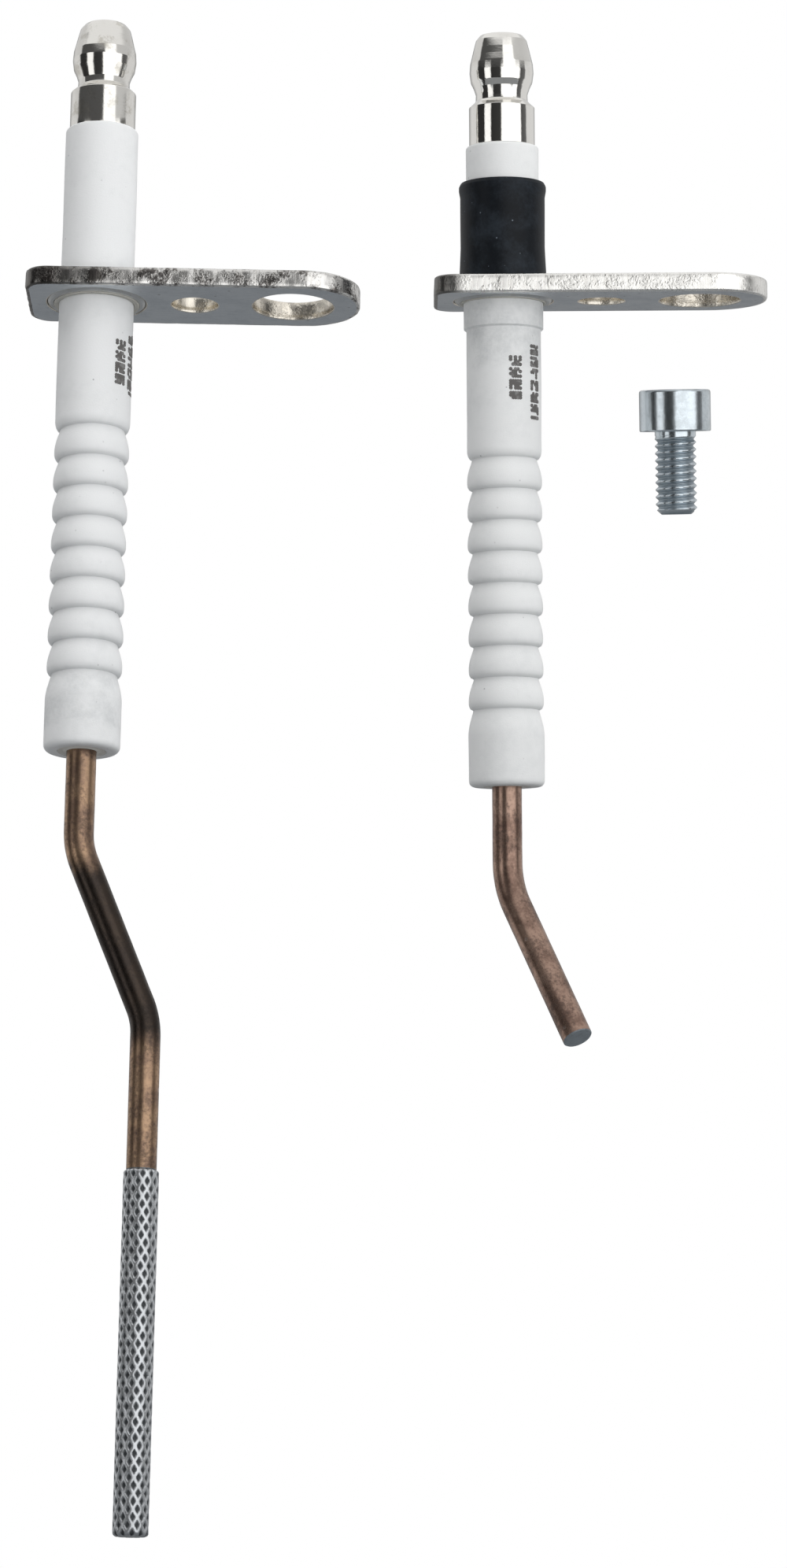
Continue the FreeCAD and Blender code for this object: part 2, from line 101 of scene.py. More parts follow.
class Graph:
    """Adds and links nodes in one node tree."""

    def __init__(self, tree: Tree) -> None:
        """Keep the tree that the nodes go into.

        Args:
            tree: The node tree of a material, a world or a group.
        """
        self.tree = tree

    @classmethod
    def emptied(cls, owner: bpy.types.ID) -> "Graph":
        """Return the graph of a material or world, with its default nodes removed."""
        owner.use_nodes = True
        owner.node_tree.nodes.clear()
        return cls(owner.node_tree)

    def feed(self, item: object, socket: Socket) -> None:
        """Link a socket to an input, or set the input to a value."""
        if isinstance(item, Socket):
            self.tree.links.new(item, socket)
        elif socket.type == "RGBA":
            socket.default_value = (*item[:3], 1.0)
        else:
            socket.default_value = item

    def add(self, kind: str, inputs: dict | None = None, **settings: object) -> Node:
        """Add one node.

        Args:
            kind: Blender's type name of the node.
            inputs: Input name or number to a socket to link or a value to set.
            **settings: Properties of the node.

        Returns:
            The new node.
        """
        node = self.tree.nodes.new(kind)
        for key, setting in settings.items():
            setattr(node, key, setting)
        for key, item in (inputs or {}).items():
            self.feed(item, node.inputs[key])
        return node

    def math(self, operation: str, *values: object) -> Socket:
        """Add a Math node on one to three values and return its result."""
        inputs = dict(enumerate(values))
        return self.add("ShaderNodeMath", inputs, operation=operation).outputs[0]

    def spread(self, value: object, low: object, high: object, to_low: float = 0.0,
               to_high: float = 1.0) -> Socket:
        """Map a value from one range to another, smoothly and clamped.

        Args:
            value: The value to map.
            low: Value that gives to_low.
            high: Value that gives to_high.
            to_low: Result at low.
            to_high: Result at high.

        Returns:
            The mapped value.
        """
        inputs = {"Value": value, "From Min": low, "From Max": high,
                  "To Min": to_low, "To Max": to_high}
        node = self.add("ShaderNodeMapRange", inputs, interpolation_type="SMOOTHSTEP")
        return node.outputs["Result"]

    def blend(self, amount: object, first: object, second: object) -> Socket:
        """Mix two colours.

        Args:
            amount: Share of the second colour.
            first: First colour or socket.
            second: Second colour or socket.

        Returns:
            The mixed colour.
        """
        node = self.add("ShaderNodeMix", data_type="RGBA")
        ends = {"Factor_Float": amount, "A_Color": first, "B_Color": second}
        for socket in node.inputs:
            if socket.identifier in ends:
                self.feed(ends[socket.identifier], socket)
        return next(s for s in node.outputs if s.identifier == "Result_Color")

    def noise(self, vector: object, scale: object, detail: float = 3.0,
              roughness: float = 0.55) -> Socket:
        """Add a noise texture and return its value."""
        inputs = {"Vector": vector, "Scale": scale, "Detail": detail, "Roughness": roughness}
        return self.add("ShaderNodeTexNoise", inputs).outputs["Fac"]


Wiring = Callable[[Graph, bpy.types.NodeOutputs], Socket]


def shared_effect(name: str, output: str, **inputs: object) -> Callable[[Wiring], Callable]:
    """Make a shader node group out of a function that wires its nodes.

    Args:
        name: Name of the group.
        output: Name of its value output.
        **inputs: Each input's default beside Vector: a number, or a tuple for a vector.

    Returns:
        The decorator; the decorated function returns the group, built once on first use.
    """
    def decorate(wire: Wiring) -> Callable[[], Tree]:
        """Wrap the wiring of one group."""
        @cache
        def group() -> Tree:
            """Build the group."""
            tree = bpy.data.node_groups.new(name, "ShaderNodeTree")
            for label, default in {"Vector": (0.0, 0.0, 0.0), **inputs}.items():
                kind = "NodeSocketVector" if isinstance(default, tuple) else "NodeSocketFloat"
                socket = tree.interface.new_socket(label, in_out="INPUT", socket_type=kind)
                socket.default_value = default
            tree.interface.new_socket(output, in_out="OUTPUT", socket_type="NodeSocketFloat")
            graph = Graph(tree)
            start, end = graph.add("NodeGroupInput"), graph.add("NodeGroupOutput")
            graph.feed(wire(graph, start.outputs), end.inputs[output])
            return tree
        return group
    return decorate


@shared_effect("Specks", "Mask", Scale=1.0, Size=0.2, Share=0.3)
def specks(graph: Graph, given: bpy.types.NodeOutputs) -> Socket:
    """Scattered small round specks, some faint and some strong."""
    cells = graph.add("ShaderNodeTexVoronoi", {"Vector": given["Vector"],
                                               "Scale": given["Scale"]})
    inner = graph.math("MULTIPLY", given["Size"], 0.35)
    spot = graph.spread(cells.outputs["Distance"], given["Size"], inner)
    tone = graph.add("ShaderNodeSeparateColor", {"Color": cells.outputs["Color"]})
    kept = graph.math("LESS_THAN", tone.outputs["Red"], given["Share"])
    strength = graph.math("MULTIPLY_ADD", tone.outputs["Green"], 0.7, 0.3)
    return graph.math("MULTIPLY", graph.math("MULTIPLY", spot, kept), strength)


@shared_effect("Smudges", "Mask", Scale=0.3, Low=0.5, High=0.7)
def smudges(graph: Graph, given: bpy.types.NodeOutputs) -> Socket:
    """Soft uneven patches, such as handling marks or tarnish."""
    broad = graph.noise(given["Vector"], given["Scale"], 4.0, 0.6)
    fine = graph.noise(given["Vector"], graph.math("MULTIPLY", given["Scale"], 9.0), 2.0)
    both = graph.math("MULTIPLY_ADD", fine, 0.22, graph.math("MULTIPLY", broad, 0.78))
    return graph.spread(both, given["Low"], given["High"])


@shared_effect("Grain", "Height", Scale=8.0, Swell=0.3)
def grain(graph: Graph, given: bpy.types.NodeOutputs) -> Socket:
    """Fine surface grain with a slow swell under it; about 0 to 1."""
    fine = graph.noise(given["Vector"], given["Scale"], 4.0, 0.7)
    broad = graph.noise(given["Vector"], graph.math("MULTIPLY", given["Scale"], 0.12), 2.0)
    return graph.math("MULTIPLY_ADD", broad, given["Swell"], fine)


@shared_effect("Brushing", "Height", Stretch=(1.0, 1.0, 1.0), Scale=4.0)
def brushing(graph: Graph, given: bpy.types.NodeOutputs) -> Socket:
    """Fine parallel marks, drawn out along the axes whose stretch is small; 0 to 1."""
    drawn = graph.add("ShaderNodeVectorMath", {0: given["Vector"], 1: given["Stretch"]},
                      operation="MULTIPLY").outputs[0]
    return graph.noise(drawn, given["Scale"], 5.0, 0.65)


@shared_effect("HeightZone", "Mask", Low=-1.0, High=1.0, Soft=0.5, Uneven=0.5)
def height_zone(graph: Graph, given: bpy.types.NodeOutputs) -> Socket:
    """A band round the part between two heights, with an uneven border."""
    height = graph.add("ShaderNodeSeparateXYZ", {0: given["Vector"]}).outputs["Z"]
    wobble = graph.math("SUBTRACT", graph.noise(given["Vector"], 0.9, 4.0, 0.65), 0.5)
    height = graph.math("MULTIPLY_ADD", wobble, given["Uneven"], height)
    sides = []
    for edge, way in (("Low", "SUBTRACT"), ("High", "ADD")):
        faded = graph.math(way, given[edge], given["Soft"])
        sides.append(graph.spread(height, faded, given[edge]))
    return graph.math("MULTIPLY", *sides)


# ---------------------------------------------------------------- finishes


@dataclass
class Skin:
    """A material while it is built: its graph, its shader and the place in millimetres."""

    graph: Graph
    shader: Node
    place: Socket

    def effect(self, group: Callable[[], Tree], **inputs: object) -> Socket:
        """Place a shared effect with its own values and return its output."""
        return self.graph.add("ShaderNodeGroup", {"Vector": self.place, **inputs},
                              node_tree=group()).outputs[0]

    def recess(self) -> Socket:
        """Return how deep in a hollow the place lies, 0 to 1, as marked on the mesh."""
        return self.graph.add("ShaderNodeAttribute", attribute_name="recess").outputs["Fac"]

    def tint(self, under: object, mask: Socket, over: Colour,
             share: float | None = None) -> Socket:
        """Lay a colour over another.

        Args:
            under: Colour or socket below.
            mask: Where the second colour lies, 0 to 1.
            over: The second colour.
            share: Strongest cover, where it is less than full.

        Returns:
            The mixed colour.
        """
        amount = mask if share is None else self.graph.math("MULTIPLY", mask, share)
        return self.graph.blend(amount, under, over)

    def wear(self, colour: Socket, rough: Socket | None = None, height: Socket | None = None,
             depth_mm: float = 0.0, strength: float = 0.5) -> None:
        """Feed the finished values into the shader.

        Args:
            colour: Base colour.
            rough: Roughness, where it varies.
            height: Relief, about 0 to 1.
            depth_mm: Real height of the relief's full step.
            strength: Share of the relief's effect.
        """
        self.graph.feed(colour, self.shader.inputs["Base Color"])
        if rough is not None:
            self.graph.feed(rough, self.shader.inputs["Roughness"])
        if height is not None:
            bump = self.graph.add("ShaderNodeBump", {
                "Height": height, "Distance": depth_mm * MM, "Strength": strength})
            self.graph.feed(bump.outputs[0], self.shader.inputs["Normal"])


@dataclass(frozen=True)
class Finish:
    """A material: its colour, gloss and the marks that the real surface carries."""

    name: str
    colour: Colour
    metallic: float = 0.0
    roughness: float = 0.5
    specular: float = 0.5

    def material(self) -> bpy.types.Material:
        """Return the material, built on first use."""
        found = bpy.data.materials.get(self.name)
        if found:
            return found
        made = bpy.data.materials.new(self.name)
        made.diffuse_color = (*self.colour, 1.0)
        graph = Graph.emptied(made)
        shader = graph.add("ShaderNodeBsdfPrincipled", {
            "Base Color": self.colour, "Metallic": self.metallic,
            "Roughness": self.roughness, "Specular IOR Level": self.specular})
        graph.add("ShaderNodeOutputMaterial", {"Surface": shader.outputs[0]})
        place = graph.add("ShaderNodeTexCoord").outputs["Object"]
        vector = graph.add("ShaderNodeVectorMath", {0: place, "Scale": 1 / MM},
                           operation="SCALE").outputs[0]
        self.detail(Skin(graph, shader, vector))
        return made

    def detail(self, skin: Skin) -> None:
        """Add the finish's own marks; each kind of finish has its own."""


@dataclass(frozen=True)
class CeramicFinish(Finish):
    """Matt fired ceramic with firing specks, scuffs and painted shade in its grooves."""

    # Share of the shade painted into the rib grooves.
    groove_shade: float = 0.25
    scuff_low: float = 0.0
    scuff_high: float = 0.0

    def detail(self, skin: Skin) -> None:
        """Add specks, smudges, a scuffed band and fine grain."""
        patches = skin.effect(smudges, Scale=0.16, Low=0.46, High=0.72)
        colour = skin.tint(self.colour, patches, (0.70, 0.715, 0.72), 0.5)
        # Painted shade: the rib grooves, marked by the mesh's recess, are darkened towards grey.
        colour = skin.tint(colour, skin.recess(), (0.40, 0.41, 0.42), self.groove_shade)
        spots = skin.effect(specks, Scale=0.85, Size=0.10, Share=0.42)
        colour = skin.tint(colour, spots, (0.16, 0.16, 0.17), 0.62)
        zone = skin.effect(height_zone, Low=self.scuff_low, High=self.scuff_high, Soft=1.2,
                           Uneven=2.0)
        scratches = skin.effect(smudges, Scale=0.35, Low=0.34, High=0.72)
        scuffed = skin.graph.math("MULTIPLY", zone, scratches)
        colour = skin.tint(colour, scuffed, (0.42, 0.44, 0.45), 0.42)
        rough = skin.graph.spread(patches, 0.0, 1.0, self.roughness, self.roughness - 0.12)
        skin.wear(colour, rough, skin.effect(grain, Scale=7.0, Swell=0.8), 0.035)


@dataclass(frozen=True)
class SheetFinish(Finish):
    """Nickel-plated sheet with rubbed patches, fine scratches and pits."""

    def detail(self, skin: Skin) -> None:
        """Add tarnish, scratches and pits."""
        patches = skin.effect(smudges, Scale=0.25, Low=0.42, High=0.68)
        colour = skin.tint(self.colour, patches, (0.50, 0.53, 0.56), 0.55)
        scratches = skin.effect(brushing, Scale=1.6, Stretch=(0.35, 2.4, 1.0))
        pits = skin.effect(specks, Scale=0.7, Size=0.13, Share=0.35)
        colour = skin.tint(colour, pits, (0.16, 0.15, 0.14), 0.6)
        marked = skin.graph.spread(scratches, 0.35, 0.7, 0.0, 0.16)
        worn = skin.graph.spread(patches, 0.0, 1.0, self.roughness, self.roughness + 0.1)
        skin.wear(colour, skin.graph.math("ADD", marked, worn), scratches, 0.012)


@dataclass(frozen=True)
class EdgeFinish(Finish):
    """Stamped and ground edge: fine marks across the thickness, and dented patches darkened with
    painted shade.
    """

    # Share of the painted shade over the dented patches.
    dents_and_shade: float = 0.5
    shade_from: float = -20.0
    shade_to: float = -10.0

    def detail(self, skin: Skin) -> None:
        """Add marks that run up the edge, dented patches darkened with painted shade, and
        painted shade towards the back end.
        """
        graph = skin.graph
        marks = skin.effect(brushing, Scale=3.2, Stretch=(1.0, 1.0, 0.12))
        # Painted shade: dented patches are tinted almost black in place of the dark reflections
        # of an uneven edge; the same patches are also bumped.
        dents_and_shade = skin.effect(smudges, Scale=0.55, Low=0.47, High=0.60)
        colour = skin.tint(self.colour, dents_and_shade, (0.10, 0.09, 0.085), self.dents_and_shade)
        # Painted shade: the edge darkens towards the plate's back end, between shade_from and
        # shade_to along its length.
        along = graph.add("ShaderNodeSeparateXYZ", {0: skin.place}).outputs["X"]
        shade = graph.spread(along, self.shade_from, self.shade_to, 0.88, 0.0)
        colour = skin.tint(colour, shade, (0.055, 0.05, 0.045))
        streak = graph.spread(marks, 0.30, 0.50, 0.35, 0.0)
        colour = skin.tint(colour, streak, (0.42, 0.40, 0.36))
        rough = graph.math("MULTIPLY_ADD", marks, 0.25, self.roughness - 0.1)
        skin.wear(colour, rough, graph.math("MULTIPLY_ADD", dents_and_shade, 1.5, marks), 0.02, 0.6)


@dataclass(frozen=True)
class TurnedFinish(Finish):
    """Bright plated turning, with tool rings and a little tarnish."""

    tarnish: float = 0.3
    rings: float = 9.0

    def detail(self, skin: Skin) -> None:
        """Add tool rings, tarnish and faint orange peel."""
        graph = skin.graph
        rings = skin.effect(brushing, Scale=self.rings, Stretch=(0.05, 0.05, 1.0))
        stain = skin.effect(smudges, Scale=0.5, Low=0.5, High=0.66)
        tarnished = graph.math("MULTIPLY", stain, self.tarnish)
        colour = skin.tint(self.colour, tarnished, (0.36, 0.33, 0.26))
        peel = skin.effect(grain, Scale=2.2, Swell=2.0)
        rough = graph.math("MULTIPLY_ADD", tarnished, 0.22, self.roughness)
        skin.wear(colour, rough, graph.math("MULTIPLY_ADD", rings, 0.25, peel), 0.008, 0.6)


@dataclass(frozen=True)
class ScaledRodFinish(Finish):
    """Heat-resistant wire with a brown oxide skin, painted shade on a slanted stretch and
    painted glints.
    """

    # Heights between which the wire is darkened with painted shade.
    slant_shade: tuple[float, float] = (0.0, 0.0)
    warm: Colour = (0.44, 0.28, 0.20)

    def detail(self, skin: Skin) -> None:
        """Add the oxide's colours, painted shade between two heights and painted glints."""
        graph = skin.graph
        oxide = skin.effect(smudges, Scale=0.45, Low=0.38, High=0.62)
        colour = skin.tint(self.colour, oxide, self.warm)
        flecks = skin.effect(grain, Scale=3.2, Swell=0.6)
        dark = graph.spread(flecks, 0.62, 0.86, 0.45, 0.0)
        colour = skin.tint(colour, dark, (0.055, 0.045, 0.042))
        # Painted shade: the stretch between two heights, the sensing rod's slant, is tinted
        # almost black.
        zone = skin.effect(height_zone, Low=self.slant_shade[0], High=self.slant_shade[1], Soft=3.0,
                           Uneven=2.5)
        colour = skin.tint(colour, zone, (0.030, 0.026, 0.024), 0.93)
        # Painted highlights: small pale specks stand in for glints on the oxide.
        glints = skin.effect(specks, Scale=0.5, Size=0.16, Share=0.22)
        colour = skin.tint(colour, glints, (0.62, 0.52, 0.47))
        rough = graph.spread(flecks, 0.5, 0.95, self.roughness + 0.16, self.roughness - 0.06)
        skin.wear(colour, rough, flecks, 0.014)


@dataclass(frozen=True)
class RecessFinish(Finish):
    """Metal whose hollows, marked on the mesh, are darkened with painted shade and are duller.
    """

    # Colour and share of the shade painted into the hollows.
    hollow: Colour = (0.10, 0.11, 0.12)
    depth: float = 0.8
    grain: float = 5.0

    def detail(self, skin: Skin) -> None:
        """Paint shade into the hollows and mottle the crests."""
        recess = skin.recess()
        stain = skin.effect(smudges, Scale=0.9, Low=0.40, High=0.66)
        stained = tuple(0.55 * part for part in self.colour)
        crest = skin.tint(self.colour, stain, stained, 0.45)
        # Painted shade: the hollows are tinted towards the hollow colour.
        colour = skin.tint(crest, recess, self.hollow, self.depth)
        rough = skin.graph.spread(recess, 0.0, 1.0, self.roughness, self.roughness + 0.3)
        skin.wear(colour, rough, skin.effect(grain, Scale=self.grain, Swell=0.4), 0.012)


@dataclass(frozen=True)
class RubberFinish(Finish):
    """Matt black rubber with a bloom and specks of dust."""

    def detail(self, skin: Skin) -> None:
        """Add bloom, dust and a moulded grain."""
        bloom = skin.effect(smudges, Scale=0.3, Low=0.42, High=0.72)
        colour = skin.tint(self.colour, bloom, (0.032, 0.042, 0.055), 0.5)
        dust = skin.effect(specks, Scale=1.3, Size=0.13, Share=0.30)
        colour = skin.tint(colour, dust, (0.30, 0.36, 0.42), 0.55)
        rough = skin.graph.math("MULTIPLY_ADD", bloom, 0.12, self.roughness)
        skin.wear(colour, rough, skin.effect(grain, Scale=6.0, Swell=1.0), 0.02)


@dataclass(frozen=True)
class MineralFinish(Finish):
    """Dry packing or cement: coarse grain with dark or pale grit."""

    grit: Colour = (0.22, 0.21, 0.19)

    def detail(self, skin: Skin) -> None:
        """Add grit and a coarse surface."""
        grit = skin.effect(specks, Scale=2.6, Size=0.24, Share=0.4)
        colour = skin.tint(self.colour, grit, self.grit, 0.7)
        coarse = skin.effect(grain, Scale=3.5, Swell=0.8)
        skin.wear(colour, None, coarse, 0.08, 0.8)


@dataclass(frozen=True)
class InkFinish(Finish):
    """Dark stamping ink, broken up where it has worn off the glaze."""

    def detail(self, skin: Skin) -> None:
        """Let patches of ceramic show through the ink."""
        worn = skin.effect(smudges, Scale=1.6, Low=0.5, High=0.62)
        skin.wear(skin.tint(self.colour, worn, (0.62, 0.63, 0.63), 0.2))


class Finishes:
    """Every finish of the set, by the piece that wears it."""

    ceramic = CeramicFinish("white_ceramic", (0.83, 0.84, 0.84), 0.0, 0.62,
                            groove_shade=0.16, scuff_low=-6.0, scuff_high=-1.0)
    worn_ceramic = CeramicFinish("handled_ceramic", (0.82, 0.83, 0.835), 0.0, 0.62,
                                 groove_shade=0.26, scuff_low=-42.0, scuff_high=-38.0)
    sheet = SheetFinish("nickel_sheet", (0.60, 0.63, 0.66), 1.0, 0.34)
    ground_edge = EdgeFinish("ground_edge", (0.90, 0.89, 0.86), 1.0, 0.26, dents_and_shade=0.12,
                             shade_from=-5.6, shade_to=-3.4)
    battered_edge = EdgeFinish("battered_edge", (0.76, 0.75, 0.73), 1.0, 0.20, dents_and_shade=0.92,
                               shade_from=-5.0, shade_to=6.0)
    hole_wall = EdgeFinish("hole_wall", (0.80, 0.75, 0.66), 1.0, 0.22, dents_and_shade=0.4)
    ring = TurnedFinish("staked_ring", (0.55, 0.56, 0.56), 1.0, 0.36, tarnish=0.5, rings=3.0)
    packing = MineralFinish("mineral_packing", (0.50, 0.49, 0.45), 0.0, 0.9)
    cement = MineralFinish("refractory_cement", (0.74, 0.73, 0.69), 0.0, 0.88,
                           grit=(0.45, 0.43, 0.40))
    terminal = TurnedFinish("bright_terminal", (0.84, 0.825, 0.79), 1.0, 0.055, tarnish=0.10)
    worn_terminal = TurnedFinish("worn_terminal", (0.80, 0.785, 0.75), 1.0, 0.09, tarnish=0.45)
    washer = TurnedFinish("spring_washer", (0.5, 0.5, 0.5), 1.0, 0.3)
    ignition_rod = ScaledRodFinish("brown_rod", (0.21, 0.135, 0.105), 0.95, 0.34,
                                   warm=(0.40, 0.27, 0.21))
    sensing_rod = ScaledRodFinish("slant_shaded_rod", (0.22, 0.145, 0.105), 0.95, 0.34,
                                  slant_shade=(-71.0, -57.0), warm=(0.40, 0.265, 0.17))
    cut_end = RecessFinish("cut_end", (0.36, 0.40, 0.43), 0.85, 0.42)
    # Knurl pits darkened almost black with painted shade.
    knurl = RecessFinish("crossed_knurl", (0.60, 0.62, 0.64), 1.0, 0.34,
                         hollow=(0.05, 0.055, 0.06), depth=0.92)
    rubber = RubberFinish("black_rubber", (0.004, 0.006, 0.009), 0.0, 0.44, specular=0.17)
    # Thread valleys and socket darkened with painted shade.
    zinc = RecessFinish("blue_zinc", (0.62, 0.68, 0.72), 1.0, 0.20,
                        hollow=(0.24, 0.29, 0.33), depth=0.7, grain=3.0)
    ink = InkFinish("code_ink", (0.12, 0.115, 0.11), 0.0, 0.6)


# ---------------------------------------------------------------- mesh tools


def rounded(corners: Sequence[tuple[float, float, float]], steps: int = 6) -> Profile:
    """Round the corners of an open outline.

    Args:
        corners: Radius, height and corner radius of each corner, in millimetres.
        steps: Points along each rounded corner.

    Returns:
        The outline's points, in order.
    """
    points: Profile = []
    for index, (across, along, radius) in enumerate(corners):
        here = Vector((across, along))
        inner = 0 < index < len(corners) - 1
        if radius <= 0 or not inner:
            points.append((across, along))
            continue
        before = Vector(corners[index - 1][:2]) - here
        after = Vector(corners[index + 1][:2]) - here
        angle = before.angle(after)
        reach = min(radius / math.tan(angle / 2), before.length * 0.49, after.length * 0.49)
        start = here + before.normalized() * reach
        stop = here + after.normalized() * reach
        for step in range(steps + 1):
            share = step / steps
            curve = start.lerp(here, share).lerp(here.lerp(stop, share), share)
            points.append((curve.x, curve.y))
    return points


def subdivided(profile: Profile, longest: float) -> Profile:
    """Split the outline's long stretches.

    Args:
        profile: Outline points, in millimetres.
        longest: Longest stretch to leave.

    Returns:
        The outline with more points.
    """
    points: Profile = [profile[0]]
    for (x0, y0), (x1, y1) in zip(profile, profile[1:]):
        parts = max(1, math.ceil(math.hypot(x1 - x0, y1 - y0) / longest))
        for part in range(1, parts + 1):
            share = part / parts
            points.append((x0 + (x1 - x0) * share, y0 + (y1 - y0) * share))
    return points


def polar(radius: float, angle: float, height: float) -> Vector:
    """Return the point at a radius, an angle and a height about the Z axis."""
    return Vector((radius * math.cos(angle), radius * math.sin(angle), height))


def turns(count: int) -> list[float]:
    """Return evenly spaced angles once round, from 0."""
    return [FULL_TURN * k / count for k in range(count)]


def circle_ring(radius: float, height: float, segments: int) -> Ring:
    """Return one round ring about the Z axis, or one point where the radius is 0."""
    if radius < SMALLEST_RADIUS:
        return [Vector((0, 0, height))]
    return [polar(radius, angle, height) for angle in turns(segments)]


def metre_mesh(name: str, points: Sequence[Vector], faces: Sequence[Face]) -> Mesh:
    """Return a new mesh in metres from points in millimetres."""
    mesh = bpy.data.meshes.new(name)
    mesh.from_pydata([point * MM for point in points], [], faces)
    return mesh


def in_scene(name: str, data: bpy.types.ID) -> bpy.types.Object:
    """Return a new object that holds the data, linked into the scene."""
    made = bpy.data.objects.new(name, data)
    bpy.context.scene.collection.objects.link(made)
    return made


@dataclass
class Shell:
    """A closed mesh built from rings of points, in millimetres."""

    rings: list[Ring]
    closed: bool = False
    recess: list[float] = field(default_factory=list)

    def faces(self) -> list[Face]:
        """Return the faces between neighbouring rings."""
        starts = []
        total = 0
        for ring in self.rings:
            starts.append(total)
            total += len(ring)
        pairs = list(zip(range(len(self.rings)), range(1, len(self.rings))))
        if self.closed:
            pairs.append((len(self.rings) - 1, 0))
        faces: list[Face] = []
        for low, high in pairs:
            faces += self.band(starts[low], len(self.rings[low]), starts[high],
                               len(self.rings[high]))
        if not self.closed:
            for index, turned in ((0, True), (len(self.rings) - 1, False)):
                count = len(self.rings[index])
                if count > 1:
                    loop = range(starts[index], starts[index] + count)
                    faces.append(tuple(reversed(loop)) if turned else tuple(loop))
        return faces

    @staticmethod
    def band(low: int, low_count: int, high: int, high_count: int) -> list[Face]:
        """Join two rings, either of which may be a single point.

        Args:
            low: Index of the first ring's first point.
            low_count: Points in the first ring.
            high: Index of the second ring's first point.
            high_count: Points in the second ring.

        Returns:
            The faces of the band.
        """
        count = max(low_count, high_count)
        faces = []
        for k in range(count):
            following = (k + 1) % count
            if low_count == 1:
                faces.append((low, high + following, high + k))
            elif high_count == 1:
                faces.append((low + k, low + following, high))
            else:
                faces.append((low + k, low + following, high + following, high + k))
        return faces

    def mesh(self, name: str) -> Mesh:
        """Return the mesh in metres, smooth but for its sharp corners.

        Args:
            name: Name of the mesh.

        Returns:
            The new mesh, with outward faces.
        """
        points = [point for ring in self.rings for point in ring]
        made = metre_mesh(name, points, self.faces())
        face_outwards(made)
        if self.recess:
            attribute = made.attributes.new("recess", "FLOAT", "POINT")
            attribute.data.foreach_set("value", self.recess)
        made.shade_smooth()
        made.set_sharp_from_angle(angle=SHARP_ANGLE)
        return made


def face_outwards(mesh: Mesh) -> None:
    """Turn the whole mesh inside out if its volume is negative."""
    mesh.calc_loop_triangles()
    volume = 0.0
    for triangle in mesh.loop_triangles:
        a, b, c = (mesh.vertices[index].co for index in triangle.vertices)
        volume += a.dot(b.cross(c))
    if volume < 0:
        mesh.flip_normals()


def consistent_normals(mesh: Mesh) -> None:
    """Turn every face of a closed mesh outwards."""
    work = bmesh.new()
    work.from_mesh(mesh)
    bmesh.ops.recalc_face_normals(work, faces=work.faces)
    work.to_mesh(mesh)
    work.free()


def lathe(profile: Profile, segments: int = 128, closed: bool = True,
          wobble: Wobble | None = None) -> Shell:
    """Turn an outline about the Z axis.

    Args:
        profile: Radius and height of each point, in millimetres.
        segments: Points round each ring.
        closed: Whether the outline joins up with its start.
        wobble: Extra radius for an angle, a radius and a height.

    Returns:
        The turned shell.
    """
    rings = []
    for radius, height in profile:
        ring = circle_ring(radius, height, segments)
        if wobble and len(ring) > 1:
            for angle, point in zip(turns(segments), ring):
                point.xy *= 1 + wobble(angle, radius, height) / radius
        rings.append(ring)
    return Shell(rings, closed)


def ripple(seed: float, size: float, depth: float) -> Wobble:
    """Return a wobble for lathe: soft lumps over the turned surface.

    Args:
        seed: Moves the pattern.
        size: Breadth of a lump, in millimetres.
        depth: Height of a lump, in millimetres.

    Returns:
        The function of angle, radius and height.
    """
    def lump(angle: float, radius: float, height: float) -> float:
        """Return the extra radius at one point."""
        place = polar(radius, angle, height) / size
        return depth * noise.noise(place + Vector((seed, seed, seed)))
    return lump


# ---------------------------------------------------------------- pieces


@dataclass
class Piece:
    """One piece of the set, built in its own frame and seated in the row frame."""

    name: str
    body: str
    seat: Matrix
    slot: str
    nodes: tuple[str, ...]
    finish: Finish = Finishes.ring

    def shell(self) -> Shell:
        """Return the piece's shape; each kind of piece has its own."""
        raise NotImplementedError

    def finishes(self) -> list[Finish]:
        """Return the finishes, in the order of the mesh's material numbers."""
        return [self.finish]

    def paint(self, mesh: Mesh) -> None:
        """Give faces their material numbers where a piece has more than one finish."""

    def make_mesh(self) -> Mesh:
        """Return the finished mesh, in metres."""
        return self.shell().mesh(self.name)

    def build(self) -> bpy.types.Object:
        """Make the object, dress it and tie it to its body.

        Returns:
            The new object.
        """
        mesh = self.make_mesh()
        for finish in self.finishes():
            mesh.materials.append(finish.material())
        self.paint(mesh)
        made = in_scene(self.name, mesh)
        made.matrix_world = self.seat
        bpy.context.view_layer.update()
        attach(made, self.body)
        if self.nodes:
            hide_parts(*self.nodes)
        LOG.info("%s: %d faces on %s", self.name, len(mesh.polygons), self.body)
        return made


